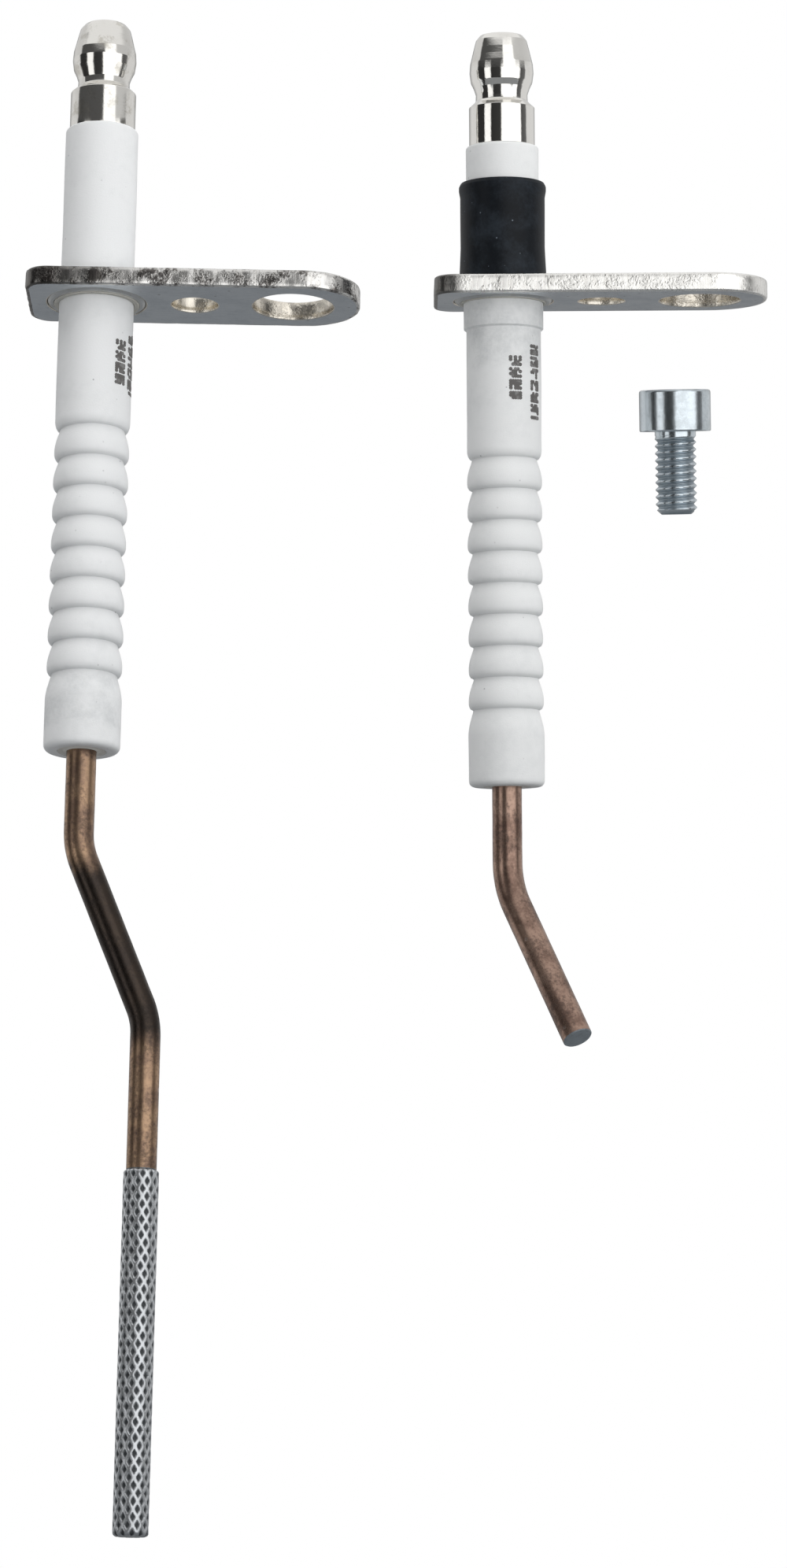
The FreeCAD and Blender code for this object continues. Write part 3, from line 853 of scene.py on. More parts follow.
@dataclass
class Insulator(Piece):
    """Ceramic tube: plain neck, shank with a collar, creepage ribs and a plain foot."""

    top: float = 15.1
    finish: Finish = Finishes.ceramic
    collar_radius: float = 3.85
    collar_long: float = 2.7
    length: float = 62.1
    neck_radius: float = 3.52
    shank_radius: float = 3.6
    foot_radius: float = 3.65
    bore_radius: float = 1.65
    mouth_radius: float = 2.3
    mouth_deep: float = 2.5
    washer_radius: float = 2.82
    washer_deep: float = 0.4
    groove_start: float = 30.5
    groove_pitch: float = 3.03
    groove_count: int = 9
    groove_depth: float = 0.5
    crest_from: float = 0.70
    crest_to: float = 0.75
    shoulder_share: float = 0.30
    last_rise_share: float = 0.85
    last_run: float = 0.5
    rise_power: float = 1.1
    fall_power: float = 2.2
    steps: int = 18
    segments: int = 112

    def rib_outline(self) -> tuple[Profile, list[float]]:
        """Return the ribs' outline from the shank down to the foot, and its recesses."""
        points: Profile = []
        depths: list[float] = []
        shoulder = self.shoulder_share * self.groove_pitch
        for step in range(self.steps // 2):
            share = step / (self.steps // 2)
            drop = self.groove_depth * (1 - math.sqrt(1 - share ** 2))
            points.append((self.shank_radius - drop,
                           self.top - self.groove_start + shoulder * (1 - share)))
            depths.append(drop / self.groove_depth)
        for groove in range(self.groove_count):
            low = self.top - self.groove_start - groove * self.groove_pitch
            last = groove == self.groove_count - 1
            for step in range(self.steps):
                share = step / self.steps
                if last:
                    share = min(share / self.last_rise_share, 1.0) * self.crest_from
                depth = self.rib_depth(share)
                crest = self.foot_radius if last else self.shank_radius
                points.append((crest - depth, low - share * self.groove_pitch
                               - (self.last_run * step / self.steps if last else 0.0)))
                depths.append(depth / self.groove_depth)
        return points, depths

    def rib_depth(self, share: float) -> float:
        """Return how far the surface lies under the crest, along one rib.

        Args:
            share: 0 at one groove's bottom, 1 at the next one's.

        Returns:
            The depth in millimetres.
        """
        if share < self.crest_from:
            rise = math.sin(math.pi / 2 * share / self.crest_from) ** self.rise_power
            return self.groove_depth * (1 - rise)
        if share < self.crest_to:
            return 0.0
        fall = (share - self.crest_to) / (1 - self.crest_to)
        return self.groove_depth * (1 - math.sqrt(max(0.0, 1 - fall ** self.fall_power)))

    def shell(self) -> Shell:
        """Turn the whole outline, bore included."""
        foot = self.top - self.length
        neck, shank = self.neck_radius, self.shank_radius
        mouth, bore = self.mouth_radius, self.bore_radius
        foot_end = foot + self.mouth_deep
        washer_seat = self.top - self.washer_deep
        head_end = washer_seat - self.mouth_deep
        upper = rounded([
            (self.washer_radius, washer_seat, 0),
            (self.washer_radius, self.top, 0.06),
            (neck, self.top, 0.45),
            (neck, 0.0, 0.05),
            (self.collar_radius, 0.0, 0.05),
            (self.collar_radius, -self.collar_long, 0.12),
            (shank, -self.collar_long - 0.14, 0.1),
            (shank, self.top - self.groove_start + 1.2, 0),
        ])
        ribs, depths = self.rib_outline()
        lower = rounded([
            (self.foot_radius, foot + 3.6, 0),
            (self.foot_radius, foot, 0.75),
            (mouth, foot, 0.12), (mouth, foot_end, 0), (bore, foot_end, 0),
            (bore, head_end, 0), (mouth, head_end, 0), (mouth, washer_seat, 0),
        ])
        upper = subdivided(upper, 1.2)
        lower = subdivided(lower, 1.2)
        profile = upper + ribs + lower
        flat = [0.0] * len(upper) + depths + [0.0] * len(lower)
        made = lathe(profile, self.segments, True, ripple(self.top, 5.0, 0.035))
        # The recess marks the rib grooves, where the ceramic finish paints shade.
        made.recess = [max(0.0, depth) ** 2 for depth in flat for _ in range(self.segments)]
        return made


@dataclass
class Turning(Piece):
    """A plain turned piece, given by its closed outline."""

    corners: tuple[tuple[float, float, float], ...] = ()
    lump_depth: float = 0.0
    lump_size: float = 1.0
    segments: int = 96

    def shell(self) -> Shell:
        """Turn the outline, with lumps where the piece has them."""
        loop = list(self.corners) + [self.corners[0]]
        profile = subdivided(rounded(loop, 5)[:-1], 0.6)
        wobble = ripple(len(self.name), self.lump_size, self.lump_depth)
        return lathe(profile, self.segments, True, wobble if self.lump_depth else None)


@dataclass
class SnapTerminal(Piece):
    """Round base, waisted neck and ball that the lead's clip springs over."""

    base: float = 15.1
    finish: Finish = Finishes.terminal
    base_radius: float = 3.175
    step: float = 3.8
    high: float = 10.9
    bore_radius: float = 1.445
    bore_deep: float = 6.0

    def shell(self) -> Shell:
        """Turn the outline from the bore's mouth round the outside to its end."""
        base = self.base
        corners = [
            (self.bore_radius, base, 0),
            (self.base_radius, base, 0.08),
            (self.base_radius, base + self.step, 0.10),
            (2.66, base + 4.26, 0.06),
            (2.52, base + 4.45, 0.10),
            (2.50, base + 5.1, 0.4),
            (2.70, base + 5.7, 0.10),
            (2.98, base + 6.3, 0.5),
            (3.10, base + 7.2, 0.8),
            (3.04, base + 8.1, 0.7),
            (2.86, base + 8.8, 0.12),
            (2.70, base + 9.5, 0.5),
            (2.46, base + 10.4, 0.25),
            (2.05, base + self.high, 0.2),
            (0.0, base + self.high, 0),
        ]
        profile = subdivided(rounded(corners, 4), 0.8)
        inside = [(0.0, base + self.bore_deep), (self.bore_radius, base + self.bore_deep)]
        return lathe(profile + inside, 128, True, ripple(3.0, 1.8, 0.008))


@dataclass
class BentRod(Piece):
    """Round wire bent in its own XZ plane."""

    finish: Finish = Finishes.ignition_rod
    top: float = 21.2
    radius: float = 1.425
    bend_radius: float = 7.5
    corners: tuple[tuple[float, float], ...] = ()
    segments: int = 48
    spacing: float = 0.45
    flattening: float = 0.022
    lump_depth: float = 0.010
    lump_size: float = 1.3
    end_chamfer: float = 0.09

    def path(self) -> list[tuple[Vector, float]]:
        """Return points down the wire, each with how tightly it is bent there, 0 to 1."""
        points = [Vector((0.0, self.top))] + [Vector(corner) for corner in self.corners]
        out: list[tuple[Vector, float]] = [(points[0], 0.0)]
        for before, here, after in zip(points, points[1:], points[2:]):
            inward = (here - before).normalized()
            onward = (after - here).normalized()
            turn = inward.angle(onward)
            reach = self.bend_radius * math.tan(turn / 2)
            start = here - inward * reach
            self.run(out, start)
            side = 1 if inward.x * onward.y - inward.y * onward.x > 0 else -1
            steps = max(4, math.ceil(self.bend_radius * turn / self.spacing))
            for step in range(1, steps + 1):
                angle = side * turn * step / steps
                chord = self.bend_radius * math.sin(abs(angle))
                rise = self.bend_radius * (1 - math.cos(angle))
                normal = Vector((-inward.y, inward.x)) * side
                tight = math.sin(math.pi * step / steps)
                out.append((start + inward * chord + normal * rise, tight))
        self.run(out, points[-1])
        return out

    def run(self, out: list[tuple[Vector, float]], stop: Vector) -> None:
        """Add evenly spaced points along a straight stretch."""
        start = out[-1][0]
        parts = max(1, math.ceil((stop - start).length / self.spacing))
        for part in range(1, parts + 1):
            out.append((start.lerp(stop, part / parts), 0.0))

    def shell(self) -> Shell:
        """Sweep the round section down the path, a little flattened in the bends."""
        path = self.path()
        rings: list[Ring] = []
        for index, (point, tight) in enumerate(path):
            before = path[max(index - 1, 0)][0]
            after = path[min(index + 1, len(path) - 1)][0]
            along = (after - before).normalized()
            side = Vector((along.y, 0, -along.x))
            centre = Vector((point.x, 0, point.y))
            ring = []
            for angle in turns(self.segments):
                grow = self.radius * (1 + self.flattening * tight * (math.sin(angle) ** 2 - 0.5))
                offset = side * math.cos(angle) * grow
                offset += Vector((0, 1, 0)) * math.sin(angle) * grow
                lump = self.lump_depth * noise.noise((centre + offset) / self.lump_size)
                ring.append(centre + offset * (1 + lump / self.radius))
            rings.append(ring)
        return self.end_caps(rings)

    def end_caps(self, rings: list[Ring]) -> Shell:
        """Close the low end with a small chamfer and a flat cut; the shell caps the top end
        flat.
        """
        low = rings[-1]
        centre = sum(low, Vector()) / len(low)
        step = (centre - sum(rings[-2], Vector()) / len(low)).normalized()
        edge = self.end_chamfer
        rings[-1] = [point - step * edge for point in low]
        rings.append([centre + (point - centre) * (1 - edge / self.radius) for point in low])
        rings.append([centre + (point - centre) * 0.5 for point in low])
        rings.append([centre])
        return Shell(rings)

    def finishes(self) -> list[Finish]:
        """Return the oxide skin and the cut end."""
        return [self.finish, Finishes.cut_end]

    def paint(self, mesh: Mesh) -> None:
        """Leave the sawn end bare."""
        bare = self.segments * 3
        count = len(mesh.polygons)
        cut = [1 if count - 1 - bare <= index < count - 1 else 0 for index in range(count)]
        mesh.polygons.foreach_set("material_index", cut)


@dataclass
class KnurledTip(Piece):
    """Thick tip with a crossed knurl: raised crossing ridges round small pits darkened with
    painted shade.
    """

    finish: Finish = Finishes.knurl
    across: float = 6.86
    top: float = -84.47
    length: float = 33.8
    radius: float = 1.66
    pit_depth: float = 0.13
    starts: int = 11
    pitch: float = 1.44
    segments: int = 132
    step: float = 0.115
    edge: float = 0.22
    ridge_width: float = 0.34
    pit_slope: float = 0.26
    drift: float = 0.05
    bruise: float = 0.012

    def depth(self, angle: float, height: float) -> float:
        """Return the share of the full pit depth at one place.

        Args:
            angle: Angle round the tip.
            height: Height in millimetres.

        Returns:
            0 on a ridge, 1 at the bottom of a pit.
        """
        turn = angle * self.starts / FULL_TURN
        drift = self.drift * noise.noise(Vector((turn * 0.7, height * 0.5, 3.1)))
        ridges = []
        for hand in Hand:
            phase = (turn + hand.value * height / self.pitch + drift) % 1.0
            ridges.append(abs(phase - 0.5) * 2)
        hollow = 1 - max(ridges)
        sharp = min(1.0, max(0.0, (hollow - self.ridge_width) / self.pit_slope))
        return sharp * sharp * (3 - 2 * sharp)

    def shell(self) -> Shell:
        """Build the rings from the flat top face down to the flat end."""
        centre = Vector((self.across, 0, 0))
        rows = round(self.length / self.step)
        rings: list[Ring] = [[centre + Vector((0, 0, self.top))]]
        recess = [0.0]
        for row in range(rows + 1):
            height = self.top - self.length * row / rows
            near_end = min(row, rows - row) * self.length / rows
            taper = self.edge * max(0.0, 1 - near_end / self.edge) ** 2
            ring = []
            for angle in turns(self.segments):
                share = self.depth(angle, height)
                dent = self.bruise * noise.noise(Vector((angle * 2.2, height * 1.1, 7.7)))
                radius = self.radius - taper - self.pit_depth * share + dent
                ring.append(centre + polar(radius, angle, height))
                # The recess marks the pits, where the knurl's finish paints shade.
                recess.append(share ** 0.8)
            rings.append(ring)
        rings.append([centre + Vector((0, 0, self.top - self.length))])
        recess.append(0.0)
        return Shell(rings, False, recess)


@dataclass
class BracketPlate(Piece):
    """Stamped plate: rolled edge above, burr below, and three punched holes."""

    finish: Finish = Finishes.sheet
    edge_state: EdgeState = EdgeState.GROUND
    edge_finish: Finish = Finishes.ground_edge
    length: float = 32.2
    width: float = 12.0
    thick: float = 1.8
    back: float = 6.7
    back_corner: float = 2.2
    front_corner: float = 5.6
    hole_pitch: float = 9.5
    ring_radius: float = 4.75
    screw_radius: float = 2.2
    pass_radius: float = 3.85
    hole_wave: float = 0.004
    spacing: float = 0.22

    def outline(self) -> list[tuple[Vector, Vector]]:
        """Return points round the plate, each with its outward direction."""
        front = self.length - self.back
        half = self.width / 2
        centres = [
            (front - self.front_corner, -half + self.front_corner, self.front_corner, -90),
            (front - self.front_corner, half - self.front_corner, self.front_corner, 0),
            (-self.back + self.back_corner, half - self.back_corner, self.back_corner, 90),
            (-self.back + self.back_corner, -half + self.back_corner, self.back_corner, 180),
        ]
        points: list[tuple[Vector, Vector]] = []
        for x, y, radius, first in centres:
            steps = max(4, round(radius * math.pi / 2 / self.spacing))
            arc = []
            for step in range(steps + 1):
                angle = math.radians(first + 90 * step / steps)
                outward = Vector((math.cos(angle), math.sin(angle)))
                arc.append((Vector((x, y)) + outward * radius, outward))
            if points:
                self.straight(points, arc[0])
            points += arc
        self.straight(points, points[0])
        return points

    def straight(self, points: list[tuple[Vector, Vector]], stop: tuple[Vector, Vector]) -> None:
        """Add points along a straight side, short of its end."""
        start, outward = points[-1]
        parts = max(1, round((stop[0] - start).length / self.spacing))
        for part in range(1, parts):
            points.append((start.lerp(stop[0], part / parts), outward))

    def hole(self, x: float, radius: float) -> list[tuple[Vector, Vector]]:
        """Return points round a hole, each with the direction into it."""
        count = max(24, round(FULL_TURN * radius / self.spacing))
        points = []
        for k in range(count):
            angle = -FULL_TURN * k / count
            out = Vector((math.cos(angle), math.sin(angle)))
            points.append((Vector((x, 0)) + out * radius, -out))
        return points

    def wall(self, loop: list[tuple[Vector, Vector]], depths: Profile,
             wave: float) -> list[Ring]:
        """Stack copies of a loop up the plate's thickness.

        Args:
            loop: Points with their directions away from the metal.
            depths: How far into the metal, and at what height, each copy lies.
            wave: Depth of the edge's unevenness, in millimetres.

        Returns:
            The copies, lowest first.
        """
        rings = []
        for inward, height in depths:
            ring = []
            for point, outward in loop:
                place = Vector((point.x, point.y, height * 0.6)) / 1.1
                uneven = wave * (noise.noise(place) + 0.5 * noise.noise(place * 2.7))
                moved = point - outward * (inward + wave + uneven)
                ring.append(Vector((moved.x, moved.y, height)))
            rings.append(ring)
        return rings

    def make_mesh(self) -> Mesh:
        """Build the walls and fill both faces between them."""
        thick = self.thick
        outer = [(0.34, 0.0), (0.15, 0.015), (0.04, 0.09), (0.0, 0.22), (0.0, 0.55),
                 (0.01, 0.9), (0.0, 1.25), (0.01, 1.55), (0.05, thick - 0.1),
                 (0.16, thick - 0.015), (0.36, thick)]
        inner = [(0.16, 0.0), (0.05, 0.03), (0.0, 0.14), (0.0, 0.6), (0.0, 1.2),
                 (0.0, thick - 0.16), (0.06, thick - 0.03), (0.18, thick)]
        loops = [self.wall(self.outline(), outer, self.edge_state.value)]
        for x, radius in ((0.0, self.ring_radius), (self.hole_pitch, self.screw_radius),
                          (2 * self.hole_pitch, self.pass_radius)):
            loops.append(self.wall(self.hole(x, radius), inner, self.hole_wave))
        points: list[Vector] = []
        faces: list[Face] = []
        kinds: list[int] = []
        starts: list[list[int]] = []
        for number, rings in enumerate(loops):
            firsts = []
            for ring in rings:
                firsts.append(len(points))
                points += ring
            starts.append(firsts)
            for low, high in zip(firsts, firsts[1:]):
                band = Shell.band(low, len(rings[0]), high, len(rings[0]))
                faces += band
                kinds += [1 if number == 0 else 2] * len(band)
        for level in (0, -1):
            rims = [rings[level] for rings in loops]
            index = [first[level] + k for first, rim in zip(starts, rims)
                     for k in range(len(rim))]
            for triangle in geometry.tessellate_polygon(rims):
                faces.append(tuple(index[corner] for corner in triangle))
                kinds.append(0)
        mesh = metre_mesh(self.name, points, faces)
        mesh.polygons.foreach_set("material_index", kinds)
        consistent_normals(mesh)
        mesh.shade_smooth()
        mesh.set_sharp_from_angle(angle=PLATE_SHARP_ANGLE)
        for polygon, kind in zip(mesh.polygons, kinds):
            polygon.use_smooth = kind != 0
        return mesh

    def finishes(self) -> list[Finish]:
        """Return the faces' finish, the outer edge's and the holes'."""
        return [self.finish, self.edge_finish, Finishes.hole_wall]


@dataclass
class RubberSleeve(Piece):
    """Push-on sleeve: straight bore, soft lips and a slightly waisted outside."""

    finish: Finish = Finishes.rubber
    low: float = 1.82
    length: float = 9.7
    bore_radius: float = 3.6
    waist_radius: float = 4.08
    lip_radius: float = 4.2
    foot_radius: float = 4.24

    def shell(self) -> Shell:
        """Turn the outline, pulled very slightly out of round."""
        high = self.low + self.length
        corners = [
            (self.bore_radius, self.low, 0),
            (self.foot_radius, self.low, 0.12),
            (self.foot_radius - 0.05, self.low + 1.2, 1.0),
            (self.waist_radius, self.low + 3.4, 2.0),
            (self.waist_radius, high - 1.4, 0.8),
            (self.lip_radius, high - 0.75, 0.35),
            (self.lip_radius, high - 0.38, 0.2),
            (self.waist_radius - 0.06, high, 0.15),
            (self.bore_radius + 0.1, high, 0.1),
            (self.bore_radius, high - 0.15, 0),
        ]
        profile = subdivided(rounded(corners, 5), 0.7)
        return lathe(profile, 112, True, ripple(9.0, 6.0, 0.03))


@dataclass
class FixingScrew(Piece):
    """Socket-head screw with a real helical thread and a hexagon socket."""

    finish: Finish = Finishes.zinc
    shank_radius: float = 1.98
    length: float = 8.0
    pitch: float = 0.7
    thread_depth: float = 0.27
    head_radius: float = 3.45
    head_high: float = 4.0
    socket_flats: float = 3.0
    socket_deep: float = 2.0
    socket_corner: float = 1.13
    crest_flat: float = 0.14
    flank: float = 0.72
    row_step: float = 0.05
    segments: int = 96

    def thread_radius(self, angle: float, height: float) -> tuple[float, float]:
        """Return the radius and the recess of the threaded shank at one place."""
        phase = (height / self.pitch - angle / FULL_TURN) % 1.0
        from_crest = abs(phase - 0.5) * 2
        cut = min(1.0, max(0.0, (from_crest - self.crest_flat) / self.flank))
        fade = min(1.0, max(0.0, (-height - 0.35) / 0.5))
        radius = self.shank_radius - self.thread_depth * cut * fade
        tip = self.shank_radius - 0.55 + (height + self.length) * 1.1
        return min(radius, tip), cut * fade

    def hexagon_ring(self, flats: float, height: float) -> Ring:
        """Return a six-sided ring with rounded corners."""
        ring = []
        for angle in turns(self.segments):
            within = (angle + math.pi / 6) % (math.pi / 3) - math.pi / 6
            radius = min(flats / 2 / math.cos(within), flats / 2 * self.socket_corner)
            ring.append(polar(radius, angle, height))
        return ring

    def shell(self) -> Shell:
        """Stack the rings from the thread's end to the bottom of the socket."""
        rings: list[Ring] = [[Vector((0, 0, -self.length))]]
        recess = [0.0]
        threaded = self.length - self.row_step
        rows = round(threaded / self.row_step)
        for row in range(rows + 1):
            height = -self.length + threaded * row / rows
            ring = []
            for angle in turns(self.segments):
                radius, cut = self.thread_radius(angle, height)
                ring.append(polar(radius, angle, height))
                # The recess marks the thread's valleys, where the zinc finish paints shade.
                recess.append(cut)
            rings.append(ring)
        head = rounded([
            (self.shank_radius, -0.04, 0),
            (self.shank_radius + 0.12, 0.0, 0.05),
            (self.head_radius - 0.05, 0.0, 0.08),
            (self.head_radius, 0.12, 0.05),
            (self.head_radius, self.head_high, 0.32),
            (self.socket_flats / 2 * self.socket_corner + 0.25, self.head_high, 0),
        ], 5)
        for radius, height in subdivided(head, 0.7):
            rings.append(circle_ring(radius, height, self.segments))
            recess += [0.0] * self.segments
        floor = self.head_high - self.socket_deep
        # Recess values growing down the socket paint shade there, darker the deeper.
        for flats, height, dark in ((self.socket_flats + 0.12, self.head_high - 0.08, 0.2),
                                    (self.socket_flats, self.head_high - 0.22, 0.5),
                                    (self.socket_flats, floor + 0.1, 0.8),
                                    (self.socket_flats - 0.2, floor, 0.9)):
            rings.append(self.hexagon_ring(flats, height))
            recess += [dark] * self.segments
        rings.append([Vector((0, 0, floor - 0.4))])
        recess.append(1.0)
        return Shell(rings, False, recess)


@dataclass
class CodeMarks(Piece):
    """Meaningless columns of ink dots on the ceramic, in place of any printed code.

    Each column is a direction in degrees, the height of its top and its length.
    """

    finish: Finish = Finishes.ink
    radius: float = 3.6
    columns: tuple[tuple[float, float, float], ...] = ()
    dot: float = 0.185
    across_pitch: float = 0.24
    along_pitch: float = 0.23
    cell_rows: int = 4
    cell_places: int = 5
    gap_share: float = 0.24
    buried: float = 0.06
    skin: float = 0.05
    dot_sides: int = 8
    seed: int = 7

    def make_mesh(self) -> Mesh:
        """Build every dot as a small closed disc that lies on the ceramic."""
        draw = random.Random(self.seed)
        points: list[Vector] = []
        faces: list[Face] = []
        for facing, high, long in self.columns:
            rows = round(long / self.along_pitch)
            for row in range(rows):
                if row % (self.cell_rows + 1) == self.cell_rows:
                    continue
                for place in range(self.cell_places):
                    if draw.random() < self.gap_share:
                        continue
                    aside = (place - self.cell_places // 2) * self.across_pitch
                    angle = math.radians(facing) + aside / self.radius
                    disc = Shell(self.disc(angle, high - row * self.along_pitch))
                    first = len(points)
                    faces += [tuple(first + corner for corner in face)
                              for face in disc.faces()]
                    points += [point for ring in disc.rings for point in ring]
        mesh = metre_mesh(self.name, points, faces)
        consistent_normals(mesh)
        return mesh

    def disc(self, angle: float, height: float) -> list[Ring]:
        """Return a dot's buried and proud outlines.

        Args:
            angle: Where the dot lies round the ceramic.
            height: Height of its middle.

        Returns:
            Two rings of points, the buried one first.
        """
        rings = []
        for radius in (self.radius - self.buried, self.radius + self.skin):
            rings.append([polar(radius, angle + self.dot * math.cos(turn) / self.radius,
                                height + self.dot * math.sin(turn))
                          for turn in turns(self.dot_sides)])
        return rings


# ---------------------------------------------------------------- assemblies


def mount(name: str) -> tuple[Vector, Vector]:
    """Return a mount's place in millimetres and its axis."""
    found = next(m for m in frame["record"]["mounts"] if m["name"] == name)
    return Vector(found["pos_m"]) / MM, Vector(found["axis"]).normalized()


def seat_matrix(origin: Vector, x_axis: Vector, z_axis: Vector) -> Matrix:
    """Return the matrix of a frame given by its origin, in millimetres, and two axes."""
    z_axis = z_axis.normalized()
    y_axis = z_axis.cross(x_axis).normalized()
    x_axis = y_axis.cross(z_axis)
    turn = Matrix((x_axis, y_axis, z_axis)).transposed().to_4x4()
    return Matrix.Translation(origin * MM) @ turn


@dataclass
class Electrode:
    """One electrode: everything that is fixed to its bracket."""

    prefix: str
    body: str
    seat: Matrix
    top: float
    below_radius: float
    ceramic: Finish
    terminal: Finish
    edge_state: EdgeState
    edge_finish: Finish
    marks: tuple[tuple[float, float, float], ...]

    def node(self, piece: str) -> str:
        """Return the name of one of this electrode's CAD nodes."""
        return f"{self.prefix}_{piece}"

    def common(self, new_name: str, slot: str, *pieces: str) -> dict:
        """Return the fields that every piece of this electrode shares."""
        return {"name": f"{self.prefix}_{new_name}", "body": self.body, "seat": self.seat,
                "slot": slot, "nodes": tuple(self.node(piece) for piece in pieces)}

    def build(self) -> None:
        """Build the bracket, ceramic, rings, cement and terminal."""
        foot = self.top - Insulator.length
        thick = BracketPlate.thick
        BracketPlate(**self.common("plate", "nickel_plate", "bracket"),
                     edge_state=self.edge_state, edge_finish=self.edge_finish).build()
        Turning(**self.common("staked_ring", "ring_steel", "clamp_ring"), corners=(
            (4.15, thick, 0.0), (4.15, -0.15, 0.08), (4.45, -0.15, 0.12), (4.73, 0.08, 0.08),
            (4.73, thick - 0.08, 0.08), (4.6, thick, 0.0)), finish=Finishes.ring).build()
        Turning(**self.common("packing", "packing", "seal_ring"), corners=(
            (3.54, thick, 0.0), (3.54, 0.02, 0.0), (self.below_radius + 0.02, 0.02, 0.0),
            (self.below_radius + 0.02, -0.24, 0.08), (4.13, -0.26, 0.1),
            (4.13, thick, 0.0)), finish=Finishes.packing, lump_depth=0.02,
            lump_size=0.5, segments=144).build()
        Insulator(**self.common("ceramic", "ceramic", "insulator"), top=self.top,
                  finish=self.ceramic, collar_radius=self.below_radius).build()
        Turning(**self.common("foot_cement", "cement", "lower_cement"), corners=(
            (1.45, foot + 0.02, 0.0), (1.8, foot + 0.12, 0.2), (2.28, foot + 0.05, 0.0),
            (2.28, foot + 2.5, 0.0), (1.45, foot + 2.5, 0.0)), finish=Finishes.cement,
            lump_depth=0.02, lump_size=0.4).build()
        SnapTerminal(**self.common("snap_stud", "bright_nickel", "terminal"),
                     base=self.top, finish=self.terminal).build()
        CodeMarks(**self.common("code_dots", "ceramic"), columns=self.marks).build()
        for piece, finish in (("upper_cement", Finishes.cement),
                              ("terminal_washer", Finishes.washer)):
            dress_node(self.node(piece), finish)


def dress_node(name: str, finish: Finish) -> None:
    """Give a CAD node that stays in view a finish."""
    node = frame["nodes"][name]
    node.data.materials.clear()
    node.data.materials.append(finish.material())
    LOG.info("%s: CAD shape kept, finish %s", name, finish.name)


@dataclass
class IgnitionElectrode(Electrode):
    """The shorter electrode, with a rubber sleeve and one bend in its rod."""

    bend_down: float = -56.5
    tip_long: float = 18.15
    tip_angle: float = 35.3
    tip_turn: float = -53.0

    def build(self) -> None:
        """Build the electrode, its rod and its sleeve."""
        super().build()
        angle = math.radians(self.tip_angle)
        end = (self.tip_long * math.sin(angle),
               self.bend_down - self.tip_long * math.cos(angle))
        fields = self.common("bent_rod", "heat_resistant_rod", "rod")
        fields["seat"] = self.seat @ Matrix.Rotation(math.radians(self.tip_turn), 4, "Z")
        BentRod(**fields, corners=((0.0, self.bend_down), end),
                top=self.top + ROD_ABOVE_CERAMIC).build()
        RubberSleeve("sleeve_rubber", "rubber_sleeve", self.seat, "rubber_sleeve",
                     ("ignition_rubber_sleeve",)).build()


@dataclass
class SensingElectrode(Electrode):
    """The longer electrode, with a double bend and a knurled tip."""

    bend_down: float = -53.9
    slant_long: float = 17.7
    slant_angle: float = 22.8
    tail_long: float = 14.25

    def build(self) -> None:
        """Build the electrode, its rod and its tip."""
        super().build()
        angle = math.radians(self.slant_angle)
        across = self.slant_long * math.sin(angle)
        second = self.bend_down - self.slant_long * math.cos(angle)
        corners = ((0.0, self.bend_down), (across, second), (across, second - self.tail_long))
        BentRod(**self.common("double_bent_rod", "heat_resistant_rod", "rod"),
                corners=corners, finish=Finishes.sensing_rod,
                top=self.top + ROD_ABOVE_CERAMIC).build()
        KnurledTip(**self.common("tip", "knurled_steel", "knurled_tip"), across=across,
                   top=second - self.tail_long).build()


# ---------------------------------------------------------------- studio


LEVEL_BANDS = ((-180, 0.20), (-160, 0.24), (-135, 0.50), (-101, 0.50), (-96, 0.02),
               (-66, 0.02), (-62, 0.80), (-42, 0.80), (-38, 0.02), (-5, 0.03), (-1, 1.0),
               (66, 1.0), (72, 0.06), (92, 0.10), (97, 0.50), (140, 0.50), (165, 0.26),
               (180, 0.20))
HIGH_BANDS = ((-180, 0.45), (-100, 0.45), (-95, 0.05), (2, 0.06), (8, 0.95), (48, 0.95),
              (54, 0.42), (90, 0.40), (180, 0.45))
HIGH_FROM = (0.27, 0.36)
OVERHEAD_FROM = (0.58, 0.72)
PAPER_GREY = (0.25, 0.26, 0.27)
WHITE = (1.0, 1.0, 1.0)


